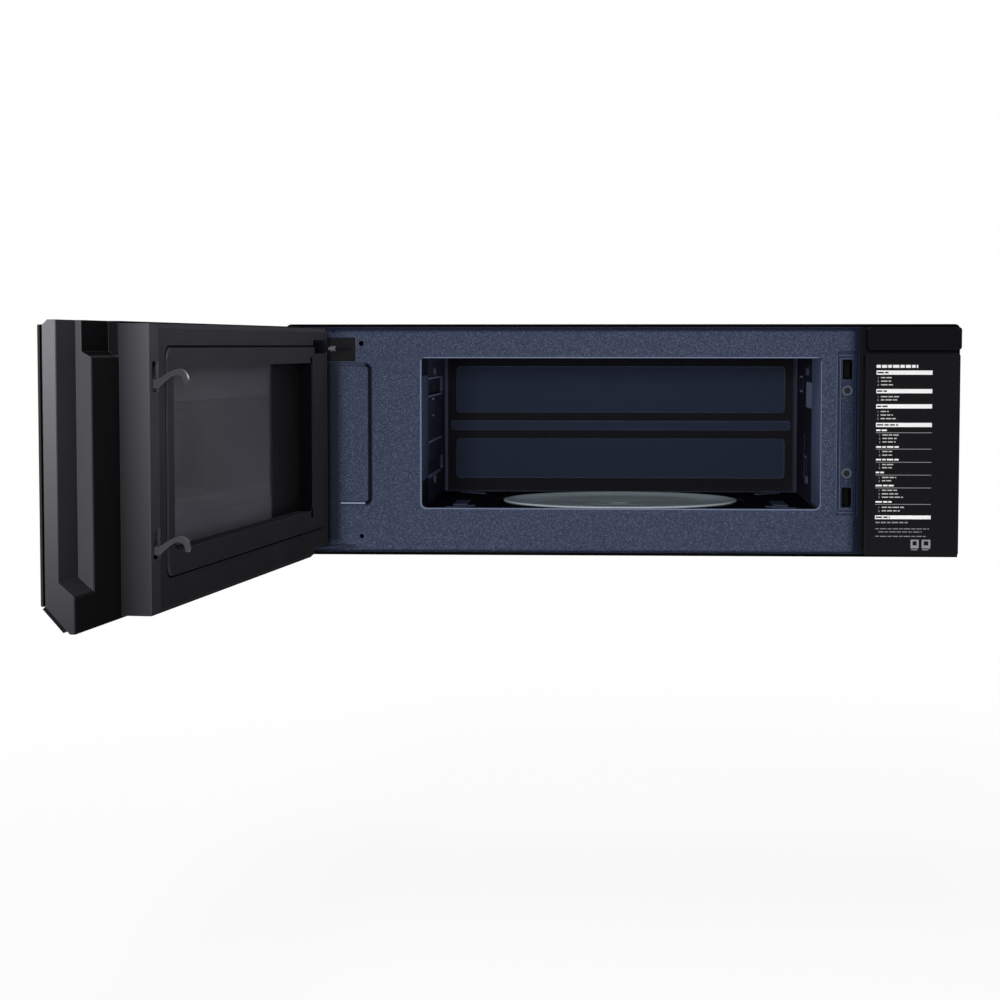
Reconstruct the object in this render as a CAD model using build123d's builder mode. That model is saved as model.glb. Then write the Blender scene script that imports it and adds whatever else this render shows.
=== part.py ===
from build123d import *
from math import cos, hypot, pi, radians, sin
import os

os.makedirs("parts", exist_ok=True)

# A slim over the range microwave with its door open. Places are given as x from the middle, depth
# behind the enamelled face and height above the bottom. The origin is the middle of the wall face.

# Body
body_width = 759.0
body_height = 262.0
case_depth = 440.0  # from the wall to the enamelled face
case_sheet = 1.2
case_corner = 6.0
base_sheet = 1.2
back_sheet = 1.2
trim_width = 3.2  # folded front edge of the case and the base
flange = 12.0  # folded edges inside the body
seat = 0.3  # gap between pieces that seat on each other
pin_clearance = 0.05  # radial, between a pin and its bore

# Enamelled face and its opening
face_sheet = 1.2
opening_width = 450.6
sill_height = 53.5
header_height = 38.3  # from the top of the opening to the top of the body
opening_height = body_height - sill_height - header_height
opening_corner = 6.5  # lower corners
opening_crease = 1.0  # upper corners
opening_lip = 8.0

# Oven cavity
cavity_depth = case_depth - 63.0
cavity_sheet = 1.0
floor_drop = 4.0  # from the sill down to the floor
head_room = 4.3  # from the top of the opening up to the ceiling
well_radius = 150.0
well_drop = 19.5
table_depth = 200.0  # from the face to the middle of the turntable
panel_width = 426.0
panel_press = 5.0
panel_margin = 10.3  # between a pressed panel and the band, and at its other edges
band_width = 438.0
band_height = 11.6
band_drop = 3.9  # of the band below the middle of the opening
band_press = 3.0
window_length = 220.0  # pressed windows of the side walls
window_height = 21.0
window_press = 3.0
window_offset = 36.0  # of the windows from the sill and from the top of the opening
window_depth = 221.0
knob_depth = 193.0
knob_radius = 5.0
knob_length = 3.0
knob_rise = 21.5  # above the sill
knob_drop = 16.7  # below the top of the opening

# Turntable
roller_radius = 6.0
roller_width = 8.0
roller_track = 110.0
roller_count = 3
ring_width = 10.0
ring_thickness = 3.0
roller_pin = 2.0
tray_radius = 142.0
tray_thickness = 4.0
tray_rim = 5.0
motor_radius = 25.0
motor_height = 16.0
shaft_radius = 3.5

# Lamp window and microwave feed in the right wall
lamp_depth = 181.0
lamp_drop = 45.2  # below the top of the opening
lamp_length = 90.0
lamp_rise = 31.0
lamp_slits = 9
slit_width = 3.0
feed_depth = 277.0
feed_height = 100.0
feed_length = 70.0
feed_rise = 44.0
feed_margin = 8.0
mica_sheet = 0.8

# Latch slots and hooks
latch_x = 254.8
slot_width = 11.0
slot_height = 22.6
slot_heights = (67.0, body_height - 51.0)
strip_width = 23.2
strip_margin = 10.0  # of the recessed strip above and below the slots
strip_press = 2.0
strip_slope = 45.0  # degrees, of the recessed strip's walls
hook_thickness = 5.0
hook_reach = 28.0  # from the inner face of the door to the tip
latch_travel = 2.5

# Door
door_angle = 96.4  # how far it stands open
hinge_x = -355.6
hinge_reach = 28.4  # pivot in front of the enamelled face
door_gap = 3.0  # inner face of the shut door to the enamelled face
door_bottom = 3.0
door_top = body_height - door_bottom
cover_depth = 30.7
cover_left = -366.0
cover_right = 264.0
cover_bottom = 5.0
cover_top = body_height - cover_bottom
cover_wall = 2.0
edge_bevel = 4.0
end_bevel = 14.0
raised_panel = 1.5
recess_depth = 15.0
recess_corner = 8.0
inner_glass_sheet = 3.0
screen_sheet = 0.8
frame_depth = 25.0
frame_wall = 3.0
gasket_sheet = 2.0
gasket_width = 8.0
gasket_inset = 3.0
glass_sheet = 2.0
pocket_width = 48.0
pocket_depth = 14.0
pocket_bottom = 45.0
pocket_slope = 12.0
notch_bottom = door_top - 30.0
notch_depth = 9.0
facet_run = 20.0
facet_rise = 22.0
facet_top = 4.5
strip_sheet = 3.0

# Hinges
hinge_sheet = 3.0
hinge_pin = 3.5
hinge_eye = 9.0
upper_arm = body_height - 29.0  # underside of the upper arm
lower_arm = 11.0  # top of the lower arm
pin_length = 14.0

# Right hand panel and the block above it
panel_left = 272.0
panel_reach = 29.0
panel_top = body_height - 33.0
panel_bottom = 4.5
panel_corner = 3.0
block_reach = 38.0
block_top = body_height - 4.0
block_gap = 4.5
moulding_wall = 2.5
panel_backing = 1.5
base_margin = 3.5  # of the base to the left of the panel

# Underside
filter_length = 200.0
filter_width = 120.0
filter_thickness = 8.0
filter_rim = 6.0
filter_x = 118.0
filter_depth = 318.0
filter_travel = 8.0
light_length = 110.0
light_width = 52.0
light_depth = 78.0
light_cover = 2.5
light_clear = 6.0  # behind the cover, for its swing
light_pin = 1.5

# Exhaust
blower_radius = 60.0
blower_width = 66.0
blower_x = -303.0
blower_depth = case_depth - 110.0
blower_height = 94.0
blower_blades = 20
housing_sheet = 1.5
outlet_length = 240.0
outlet_width = 80.0
outlet_depth = case_depth - 65.0
damper_sheet = 1.0
damper_collar = 12.0
grille_length = 400.0
grille_width = 56.0
grille_depth = 52.0
grille_slats = 9
charcoal_thickness = 12.0

# Right hand bay
magnetron_length = 84.0
magnetron_width = 84.0
fan_radius = 55.0
fan_x = 303.0
fan_height = 98.0
fan_depth = case_depth - 88.0
fan_blades = 5

# Wall plate
plate_sheet = 1.5
plate_width = 700.0
plate_bottom = 40.0
plate_top = body_height - 32.0
stud_spacing = 406.4
stud_hole = 3.6
toggle_spacing_x = 560.0
toggle_spacing_z = 130.0
toggle_hole = 8.0
cabinet_spacing = 530.0
cabinet_hole = 3.6
cabinet_depth = 60.0
cord_x = 300.0
cord_depth = case_depth - 55.0
cord_bore = 4.5

# Places worked out from the sizes above
base = -body_height / 2
face_y = -case_depth
half_width = body_width / 2
case_inside = half_width - case_sheet
case_ceiling = body_height - case_sheet
back_face = case_depth - plate_sheet - seat
back_inside = back_face - back_sheet
opening_top = body_height - header_height
band_middle = (sill_height + opening_top) / 2 - band_drop
window_heights = (sill_height + window_offset + 1.0, opening_top - window_offset + 0.8)
knob_heights = (sill_height + knob_rise, opening_top - knob_drop)
lamp_height = opening_top - lamp_drop
cavity_half = opening_width / 2 + face_sheet + seat
floor_height = sill_height - floor_drop
ceiling_height = opening_top + head_room
well_floor = floor_height - well_drop
wall_outside = cavity_half + cavity_sheet
strip_back = face_sheet + strip_press + seat


def middle(pair):
    return (pair[0] + pair[1]) / 2


def span(pair):
    return pair[1] - pair[0]


def around(centre, size):
    return (centre - size / 2, centre + size / 2)


def at_depth(depth):
    return Plane.XZ.offset(case_depth - depth)


def at_height(height):
    return Plane.XY.offset(base + height)


def side_wall(x, side):
    # Seen from inside the body, side is 1 for a surface that looks to the right
    return Plane(origin=(x, face_y, base), x_dir=(0, side, 0), z_dir=(side, 0, 0))


def body_box(x, depth, height, mode=Mode.ADD):
    with BuildSketch(at_height(height[0])) as outline:
        with Locations((middle(x), face_y + middle(depth))):
            Rectangle(span(x), span(depth))
    extrude(outline.sketch, amount=span(height), mode=mode)


def upright(plane, x, height, corner, amount, mode=Mode.ADD):
    with BuildSketch(plane) as outline:
        with Locations((middle(x), base + middle(height))):
            RectangleRounded(span(x), span(height), corner)
    extrude(outline.sketch, amount=amount, mode=mode)


def pressing(plane, centre, width, height, corner, depth, sheet):
    # A dish pressed into sheet, seen from the side it opens to
    with BuildSketch(plane) as outer:
        with Locations(centre):
            RectangleRounded(width, height, corner)
    extrude(outer.sketch, amount=-(depth + sheet))
    with BuildSketch(plane) as inner:
        with Locations(centre):
            RectangleRounded(width - 2 * sheet, height - 2 * sheet, corner - sheet)
    extrude(inner.sketch, amount=-depth, mode=Mode.SUBTRACT)


def drum(plane, centre, radius, amount, mode=Mode.ADD):
    with BuildSketch(plane) as outline:
        with Locations(centre):
            Circle(radius)
    extrude(outline.sketch, amount=amount, mode=mode)


def keep(piece, node):
    piece.part.label = node
    export_step(piece.part, f"parts/{node}.step")


# ---- The door's own place: x along it, reach in front of the enamelled face, height above the bottom
turn = radians(door_angle)
door_x = Vector(cos(turn), -sin(turn), 0)
door_out = Vector(-sin(turn), -cos(turn), 0)
pivot = Vector(hinge_x, face_y - hinge_reach, 0)
door_origin = pivot - door_x * hinge_x - door_out * hinge_reach


def door_face(reach):
    return Plane(origin=door_origin + door_out * reach, x_dir=door_x, z_dir=door_out)


def door_plan(height):
    return Plane(origin=door_origin + Vector(0, 0, base + height), x_dir=door_x, z_dir=(0, 0, 1))


def door_side(x):
    # Sketched as reach and height, and looking to the hinge
    return Plane(origin=door_origin + door_x * x + Vector(0, 0, base), x_dir=door_out, z_dir=-door_x)


def door_box(x, reach, height, mode=Mode.ADD):
    with BuildSketch(door_face(reach[0])) as outline:
        with Locations((middle(x), base + middle(height))):
            Rectangle(span(x), span(height))
    extrude(outline.sketch, amount=span(reach), mode=mode)


# ---- Wall plate, with the two hooks that the body hangs on
with BuildPart() as wall_plate:
    upright(at_depth(case_depth), around(0, plate_width), (plate_bottom, plate_top), 4, plate_sheet)
    with BuildSketch(at_depth(case_depth)):
        with Locations((0, base + middle((plate_bottom, plate_top)))):
            with GridLocations(stud_spacing, 0, 2, 1):
                Circle(stud_hole)
            with GridLocations(toggle_spacing_x, toggle_spacing_z, 2, 2):
                Circle(toggle_hole)
    extrude(amount=plate_sheet, mode=Mode.SUBTRACT)
    hook_x = plate_width / 2 - 90
    hook_width = 40.0
    hook_rise = 10.0
    hook_front = back_inside - seat - plate_sheet
    for x in (-hook_x, hook_x):
        body_box(around(x, hook_width), (hook_front, case_depth), (plate_bottom, plate_bottom + plate_sheet))
        body_box(
            around(x, hook_width),
            (hook_front, hook_front + plate_sheet),
            (plate_bottom, plate_bottom + hook_rise),
        )
keep(wall_plate, "wall_plate")

# ---- Outer case: top and sides in one sheet, its front edge folded in around the face
side_foot = base_sheet + seat
grille_x = around(0, grille_length)
grille_span = around(grille_depth, grille_width)
outlet_x = around(0, outlet_length)
outlet_span = around(outlet_depth, outlet_width)


def arch(plane, inset, amount, mode=Mode.ADD):
    # The case's section, open at the bottom, with both upper corners round
    with BuildSketch(plane) as section:
        with Locations((0, base + middle((side_foot, body_height)) - inset)):
            Rectangle(body_width - 2 * inset, body_height - side_foot)
        fillet(section.vertices().group_by(Axis.Y)[-1], case_corner - inset)
    extrude(section.sketch, amount=amount, mode=mode)


with BuildPart() as outer_case:
    arch(at_depth(0), 0, -back_face)
    arch(at_depth(case_sheet), case_sheet, -back_face, Mode.SUBTRACT)
    arch(at_depth(0), trim_width, -case_sheet, Mode.SUBTRACT)
    body_box(grille_x, grille_span, (case_ceiling - 1, body_height + 1), Mode.SUBTRACT)
    body_box(outlet_x, outlet_span, (case_ceiling - 1, body_height + 1), Mode.SUBTRACT)
    with BuildSketch(at_height(case_ceiling - 1)):
        with Locations((0, face_y + cabinet_depth)):
            with GridLocations(cabinet_spacing, 0, 2, 1):
                Circle(cabinet_hole)
        with Locations((cord_x, face_y + cord_depth)):
            Circle(cord_bore + 4)
    extrude(amount=case_sheet + 2, mode=Mode.SUBTRACT)
keep(outer_case, "outer_case")

# ---- Base plate with the openings for the filters and the light, and the rails of the filters
filter_sill = base_sheet + seat
rail_sheet = 1.0
rail_lip = 5.0
with BuildPart() as base_plate:
    body_box((-half_width, half_width), (0, back_face), (0, base_sheet))
    body_box((trim_width + seat - half_width, half_width - trim_width - seat), (0, base_sheet), (0, trim_width))
    for side in (-1, 1):
        flange_x = (side * (case_inside - seat), side * (case_inside - seat - base_sheet))
        body_box(
            (min(flange_x), max(flange_x)),
            (face_sheet + flange + seat, back_inside - seat),
            (0, flange),
        )
        body_box(
            around(side * filter_x, filter_length - 2 * rail_lip),
            around(filter_depth, filter_width - 2 * rail_lip),
            (-1, base_sheet + 1),
            Mode.SUBTRACT,
        )
        for edge in (-1, 1):
            web = filter_depth + edge * (filter_width / 2 + seat + rail_sheet / 2)
            lip = filter_depth + edge * (filter_width / 2 + seat + rail_sheet - (rail_lip + rail_sheet) / 2)
            rail_top = filter_sill + filter_thickness + seat
            body_box(
                around(side * filter_x, filter_length),
                around(web, rail_sheet),
                (0, rail_top + rail_sheet),
            )
            body_box(
                around(side * filter_x, filter_length),
                around(lip, rail_lip + rail_sheet),
                (rail_top, rail_top + rail_sheet),
            )
    light_hole = (
        light_depth - light_width / 2 + rail_lip,
        light_depth + light_width / 2 - rail_lip + light_clear,
    )
    body_box(around(0, light_length - 2 * rail_lip), light_hole, (-1, base_sheet + 1), Mode.SUBTRACT)
    for side in (-1, 1):
        ear_x = around(side * (light_length / 2 - rail_lip + 2.5), 3)
        body_box(ear_x, around(light_hole[1] - light_clear - 3.3, 8), (0, 8))
        drum(
            side_wall(ear_x[0] - 1, 1),
            (light_hole[1] - light_clear - 3.3, 5.0),
            light_pin + pin_clearance,
            5,
            Mode.SUBTRACT,
        )
keep(base_plate, "base_plate")

# ---- Back plate, with the slots for the hooks of the wall plate
with BuildPart() as back_plate:
    back_x = (-(case_inside - seat), case_inside - seat)
    back_z = (base_sheet + seat, case_ceiling - seat)
    upright(at_depth(back_face), back_x, back_z, case_corner, back_sheet)
    with BuildSketch(at_depth(back_inside)):
        for x in (-hook_x, hook_x):
            with Locations((x, base + plate_bottom + hook_rise / 2)):
                Rectangle(hook_width + 2, hook_rise + 6)
    extrude(amount=-back_sheet, mode=Mode.SUBTRACT)
    body_box((back_x[0] + case_corner, back_x[1] - case_corner), (back_inside - flange, back_face),
             (back_z[1] - back_sheet, back_z[1]))
    for side in (-1, 1):
        edge_x = sorted((side * back_x[1], side * (back_x[1] - back_sheet)))
        body_box(edge_x, (back_inside - flange, back_face), (flange + 2, back_z[1] - case_corner))
keep(back_plate, "back_plate")

# ---- Enamelled front frame
frame_x = (-(half_width - trim_width - seat), half_width - trim_width - seat)
frame_z = (trim_width + seat, body_height - trim_width - seat)
opening_x = around(0, opening_width)
opening_z = (sill_height, opening_top)
strip_x = around(latch_x, strip_width)
strip_z = (slot_heights[0] - slot_height / 2 - strip_margin, slot_heights[1] + slot_height / 2 + strip_margin)
left_recess_x = (-345.0, -281.8)
left_recess_z = (58.7, body_height - 45.2)
left_groove = 4.6
left_groove_depth = 6.0
hinge_cut_x = (-333.0, -300.5)
upper_cut_z = (upper_arm - 13.0, upper_arm + hinge_sheet + 11.0)
lower_cut_z = (lower_arm - hinge_sheet - 0.8, lower_arm + 0.8)
peg_holes = ((-293.8, body_height - 21.7, 3.0), (-294.0, 21.0, 2.5))
bracket_screws = (slot_heights[0] + 27.2, slot_heights[1] - 23.6)


def opening_outline(depth, grow, amount, mode=Mode.ADD):
    # The opening's outline, its lower corners round and its upper ones nearly sharp
    with BuildSketch(at_depth(depth)) as outline:
        with Locations((0, base + middle(opening_z))):
            Rectangle(opening_width + 2 * grow, opening_height + 2 * grow)
        fillet(outline.vertices().group_by(Axis.Y)[0], opening_corner + grow)
        fillet(outline.vertices().group_by(Axis.Y)[-1], opening_crease + grow)
    extrude(outline.sketch, amount=amount, mode=mode)


def sloped_pressing(x, height, width, length, depth):
    # A dish pressed into the face, with walls that slope in all round
    with BuildSketch(at_depth(0)) as outer:
        with Locations((x, base + height)):
            RectangleRounded(width + 2 * face_sheet, length + 2 * face_sheet, 4 + face_sheet)
    extrude(outer.sketch, amount=-(depth + face_sheet))
    with BuildSketch(at_depth(0)) as inner:
        with Locations((x, base + height)):
            RectangleRounded(width, length, 4)
    extrude(inner.sketch, amount=-depth, taper=strip_slope, mode=Mode.SUBTRACT)


with BuildPart() as front_frame:
    upright(at_depth(0), frame_x, frame_z, 3, -(face_sheet + flange))
    upright(
        at_depth(face_sheet),
        (frame_x[0] + face_sheet, frame_x[1] - face_sheet),
        (frame_z[0] + face_sheet, frame_z[1] - face_sheet),
        1.8,
        -flange,
        Mode.SUBTRACT,
    )
    opening_outline(0, face_sheet, -opening_lip)
    opening_outline(-1, 0, -opening_lip - 2, Mode.SUBTRACT)
    sloped_pressing(latch_x, middle(strip_z), strip_width, span(strip_z), strip_press)
    pressing(
        at_depth(0),
        (middle(left_recess_x), base + middle(left_recess_z)),
        span(left_recess_x),
        span(left_recess_z),
        5,
        left_groove_depth,
        face_sheet,
    )
    upright(
        at_depth(left_groove_depth + face_sheet),
        (left_recess_x[0] + left_groove, left_recess_x[1] - left_groove),
        (left_recess_z[0] + face_sheet + 1.2, left_recess_z[1] - face_sheet - 1.2),
        3,
        left_groove_depth + face_sheet - 0.6,
    )
    with BuildSketch(at_depth(-1)):
        for height in slot_heights:
            with Locations((latch_x, base + height)):
                RectangleRounded(slot_width, slot_height, 2)
        for height in bracket_screws:
            with Locations((latch_x, base + height)):
                Circle(2.2)
        for x, height, radius in peg_holes:
            with Locations((x, base + height)):
                Circle(radius)
        for cut in (upper_cut_z, lower_cut_z):
            with Locations((middle(hinge_cut_x), base + middle(cut))):
                RectangleRounded(span(hinge_cut_x), span(cut), 1.2)
    extrude(amount=-8, mode=Mode.SUBTRACT)
keep(front_frame, "front_frame")

# ---- Oven cavity: pressed sheet, open to the front, with a well for the turntable
liner_front = face_sheet + seat
room_x = (-cavity_half, cavity_half)
room_z = (floor_height, ceiling_height)
well_centre = (0, face_y + table_depth)
with BuildPart() as cavity_liner:
    body_box(
        (-wall_outside, wall_outside),
        (liner_front, cavity_depth + cavity_sheet),
        (floor_height - cavity_sheet, ceiling_height + cavity_sheet),
    )
    body_box(
        (-wall_outside - flange, wall_outside + flange),
        (liner_front, liner_front + cavity_sheet),
        (floor_height - cavity_sheet - flange, ceiling_height + cavity_sheet + flange),
    )
    drum(at_height(well_floor - cavity_sheet), well_centre, well_radius + cavity_sheet, well_drop)
    body_box(room_x, (liner_front - 1, cavity_depth), room_z, Mode.SUBTRACT)
    drum(at_height(well_floor), well_centre, well_radius, well_drop + 1, Mode.SUBTRACT)
    back_wall = at_depth(cavity_depth)
    lower_panel = (floor_height + panel_margin + 6, band_middle - band_height / 2 - panel_margin)
    upper_panel = (band_middle + band_height / 2 + panel_margin, ceiling_height - panel_margin - 6)
    for panel in (lower_panel, upper_panel):
        pressing(
            back_wall,
            (0, base + middle(panel)),
            panel_width,
            span(panel),
            6,
            panel_press,
            cavity_sheet,
        )
    band_z = around(band_middle, band_height)
    upright(back_wall, around(0, band_width), band_z, 3, band_press)
    upright(
        at_depth(cavity_depth + cavity_sheet),
        around(0, band_width - 2 * cavity_sheet),
        (band_z[0] + cavity_sheet, band_z[1] - cavity_sheet),
        2,
        band_press,
        Mode.SUBTRACT,
    )
    left_wall = side_wall(-cavity_half, 1)
    right_wall = side_wall(cavity_half, -1)
    for height in window_heights:
        pressing(
            left_wall,
            (window_depth, height),
            window_length,
            window_height,
            4,
            window_press,
            cavity_sheet,
        )
    for height in knob_heights:
        drum(left_wall, (knob_depth, height), knob_radius, knob_length)
        drum(right_wall, (-knob_depth, height), knob_radius, knob_length)
    with BuildSketch(right_wall):
        with Locations((-lamp_depth, lamp_height)):
            with GridLocations(lamp_length / lamp_slits, 0, lamp_slits, 1):
                SlotCenterToCenter(lamp_rise - slit_width, slit_width, 90)
        with Locations((-feed_depth, feed_height)):
            Rectangle(feed_length, feed_rise)
    extrude(amount=-cavity_sheet, mode=Mode.SUBTRACT)
    drum(at_height(well_floor - cavity_sheet), well_centre, shaft_radius + 1.5, 3, Mode.SUBTRACT)
    rib = 1.5
    rib_length = 46.0
    rib_width = 7.0
    for x, depth, lean in ((-1, -1, 1), (1, -1, -1), (-1, 1, -1), (1, 1, 1)):
        with BuildSketch(at_height(floor_height)) as ribs:
            with Locations((x * (cavity_half - 40), face_y + table_depth + depth * 125)):
                SlotOverall(rib_length, rib_width, 45 * lean)
        extrude(ribs.sketch, amount=rib)
    for side in (-1, 1):
        with BuildSketch(at_height(floor_height)) as ramp:
            with Locations((side * (cavity_half + well_radius) / 2, face_y + table_depth - 60)):
                Trapezoid(80, 16, 70, rotation=90 * side)
        extrude(ramp.sketch, amount=rib)
keep(cavity_liner, "cavity_liner")

# ---- Turntable: motor under the well, coupler, ring with its rollers, glass tray
roller_axle = well_floor + seat + roller_radius
tray_bottom = roller_axle + roller_radius + seat
motor_top = well_floor - cavity_sheet - seat
shaft_top = well_floor + 7
lobe_reach = 20.0
lobe_width = 8.0
lug_radius = 2.5
lug_length = 2.5
with BuildPart() as turntable_motor:
    drum(at_height(motor_top - motor_height), well_centre, motor_radius, motor_height)
    body_box(around(0, 2 * motor_radius + 20), around(table_depth, 14), (motor_top - 1.5, motor_top))
    drum(at_height(motor_top), well_centre, shaft_radius, shaft_top - motor_top)
keep(turntable_motor, "turntable_motor")

with BuildPart() as drive_coupler:
    drum(at_height(well_floor + seat), well_centre, shaft_radius + 4, tray_bottom - well_floor - 2 * seat)
    with BuildSketch(at_height(tray_bottom - seat - lug_length)):
        with Locations(well_centre):
            with PolarLocations(lobe_reach / 2, 3):
                SlotOverall(lobe_reach, lobe_width)
    extrude(amount=lug_length)
    drum(
        at_height(well_floor + seat),
        well_centre,
        shaft_radius + pin_clearance,
        shaft_top - well_floor,
        Mode.SUBTRACT,
    )
keep(drive_coupler, "drive_coupler")

ring_outer = roller_track - roller_width / 2 - 2
pin_end = roller_track + roller_width / 2 + seat
with BuildPart() as roller_ring:
    with BuildSketch(at_height(roller_axle - ring_thickness / 2)):
        with Locations(well_centre):
            Circle(ring_outer)
            Circle(ring_outer - ring_width, mode=Mode.SUBTRACT)
    extrude(amount=ring_thickness)
    for turn_step in range(roller_count):
        spoke = 2 * pi * turn_step / roller_count + pi / 2
        outward = Vector(cos(spoke), sin(spoke), 0)
        hub = Vector(*well_centre, base + roller_axle)
        with BuildSketch(Plane(origin=hub + outward * (ring_outer - 1), z_dir=outward)) as pin:
            Circle(roller_pin)
        extrude(pin.sketch, amount=pin_end - ring_outer + 1)
        with BuildSketch(Plane(origin=hub + outward * pin_end, z_dir=outward)) as head:
            Circle(roller_pin + 1.2)
        extrude(head.sketch, amount=1.2)
        with BuildSketch(Plane(origin=hub + outward * (ring_outer - 1), z_dir=outward)) as boss:
            Circle(ring_thickness)
        extrude(boss.sketch, amount=2.5)
keep(roller_ring, "roller_ring")

for number in range(roller_count):
    spoke = 2 * pi * number / roller_count + pi / 2
    outward = Vector(cos(spoke), sin(spoke), 0)
    roller_place = Vector(*well_centre, base + roller_axle) + outward * (roller_track - roller_width / 2)
    with BuildPart() as roller:
        with BuildSketch(Plane(origin=roller_place, z_dir=outward)):
            Circle(roller_radius)
            Circle(roller_pin + pin_clearance, mode=Mode.SUBTRACT)
        extrude(amount=roller_width)
    keep(roller, f"roller_{number + 1}")

with BuildPart() as turntable_tray:
    rim_top = tray_bottom + tray_thickness + tray_rim
    slope_start = tray_radius - 24
    with BuildSketch(Plane(origin=(*well_centre, base), x_dir=(1, 0, 0), z_dir=(0, -1, 0))):
        with BuildLine():
            Polyline(
                (0, tray_bottom),
                (slope_start, tray_bottom),
                (tray_radius - 8, rim_top - 4),
                (tray_radius, rim_top - 2),
                (tray_radius, rim_top),
                (tray_radius - 9, rim_top),
                (slope_start - 2, tray_bottom + tray_thickness),
                (0, tray_bottom + tray_thickness),
                (0, tray_bottom),
            )
        make_face()
    revolve(axis=Axis((*well_centre, 0), (0, 0, 1)))
    with BuildSketch(at_height(tray_bottom - lug_length)):
        with Locations(well_centre):
            with PolarLocations(lobe_reach - 5, 3, start_angle=60):
                Circle(lug_radius)
    extrude(amount=lug_length)
    drum(at_height(tray_bottom + tray_thickness), well_centre, 14, 0.8)
keep(turntable_tray, "turntable_tray")

# ---- Microwave feed: mica cover, waveguide and magnetron on the right wall
feed_span = around(feed_depth, feed_length)
feed_z = around(feed_height, feed_rise)
guide_x = (wall_outside + seat, wall_outside + seat + 24)
guide_span = around(feed_depth, feed_length + 14)
guide_z = (feed_z[0] - 7, lamp_height - lamp_rise / 2 - 5)
guide_sheet = 1.2
magnetron_height = guide_z[1] - magnetron_width / 2 + 2
with BuildPart() as waveguide_cover:
    body_box(
        (cavity_half - seat - mica_sheet, cavity_half - seat),
        (feed_span[0] - feed_margin, feed_span[1] + feed_margin),
        (feed_z[0] - feed_margin, feed_z[1] + feed_margin),
    )
keep(waveguide_cover, "waveguide_cover")

antenna_radius = 8.0
with BuildPart() as waveguide:
    body_box(guide_x, guide_span, guide_z)
    body_box(
        (guide_x[0] + guide_sheet, guide_x[1] - guide_sheet),
        (guide_span[0] + guide_sheet, guide_span[1] - guide_sheet),
        (guide_z[0] + guide_sheet, guide_z[1] - guide_sheet),
        Mode.SUBTRACT,
    )
    body_box((guide_x[0] - 1, guide_x[0] + guide_sheet + 1), feed_span, feed_z, Mode.SUBTRACT)
    drum(
        side_wall(guide_x[1] + 1, 1),
        (feed_depth, magnetron_height),
        antenna_radius + 3,
        -4,
        Mode.SUBTRACT,
    )
keep(waveguide, "waveguide")

magnetron_x = guide_x[1] + seat
magnetron_fins = 7
fin_pitch = 8.0
with BuildPart() as magnetron:
    core = side_wall(magnetron_x, 1)
    core_place = (feed_depth, magnetron_height)
    fin_span = around(feed_depth, magnetron_length)
    fin_z = around(magnetron_height, magnetron_width - 16)
    drum(core, core_place, 20, 70)
    drum(core, core_place, antenna_radius, -14)
    body_box((magnetron_x, magnetron_x + 2), fin_span, fin_z)
    body_box((magnetron_x + 66, magnetron_x + 68), fin_span, fin_z)
    for level in (fin_z[0], fin_z[1] - 2):
        body_box((magnetron_x, magnetron_x + 68), fin_span, (level, level + 2))
    for step in range(magnetron_fins):
        fin_x = magnetron_x + 10 + fin_pitch * step
        body_box((fin_x, fin_x + 1), fin_span, fin_z)
    body_box((magnetron_x + 68, magnetron_x + 88), around(feed_depth, 46), around(magnetron_height, 40))
keep(magnetron, "magnetron")

# ---- Cavity lamp behind the slits of the right wall
lamp_x = (wall_outside + seat, wall_outside + seat + 30)
lamp_span = around(lamp_depth, lamp_length + 8)
lamp_z = around(lamp_height, lamp_rise + 8)
with BuildPart() as cavity_lamp:
    body_box(lamp_x, lamp_span, lamp_z)
    body_box(
        (lamp_x[0] - 1, lamp_x[1] - 2),
        (lamp_span[0] + 1.5, lamp_span[1] - 1.5),
        (lamp_z[0] + 1.5, lamp_z[1] - 1.5),
        Mode.SUBTRACT,
    )
    drum(side_wall(lamp_x[1] - 1, -1), (-lamp_depth, lamp_height), 9, 20)
keep(cavity_lamp, "cavity_lamp")

# ---- High voltage transformer and capacitor on the base plate
bay_middle = middle((wall_outside, case_inside)) + 9.0
core_length = 88.0
core_width = 50.0
core_height = 74.5
with BuildPart() as transformer:
    core_x = around(bay_middle, core_length)
    core_span = (62.0, 62.0 + core_width)
    core_z = (filter_sill, filter_sill + core_height)
    body_box(core_x, core_span, core_z)
    upright(
        at_depth(core_span[0] - 20),
        (core_x[0] + 16, core_x[1] - 16),
        (core_z[0] + 14, core_z[1] - 14),
        8,
        -(span(core_span) + 40),
    )
    body_box((core_x[0] - 8, core_x[1] + 8), (core_span[0] + 6, core_span[1] - 6), (filter_sill, filter_sill + 2))
keep(transformer, "transformer")

with BuildPart() as capacitor:
    with BuildSketch(at_height(filter_sill)):
        with Locations((bay_middle, face_y + 172)):
            SlotOverall(54, 34)
    extrude(amount=84)
    with BuildSketch(at_height(filter_sill + 84)):
        with Locations((bay_middle, face_y + 172)):
            with GridLocations(24, 0, 2, 1):
                Rectangle(1.2, 7)
    extrude(amount=9)
keep(capacitor, "capacitor")

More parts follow.
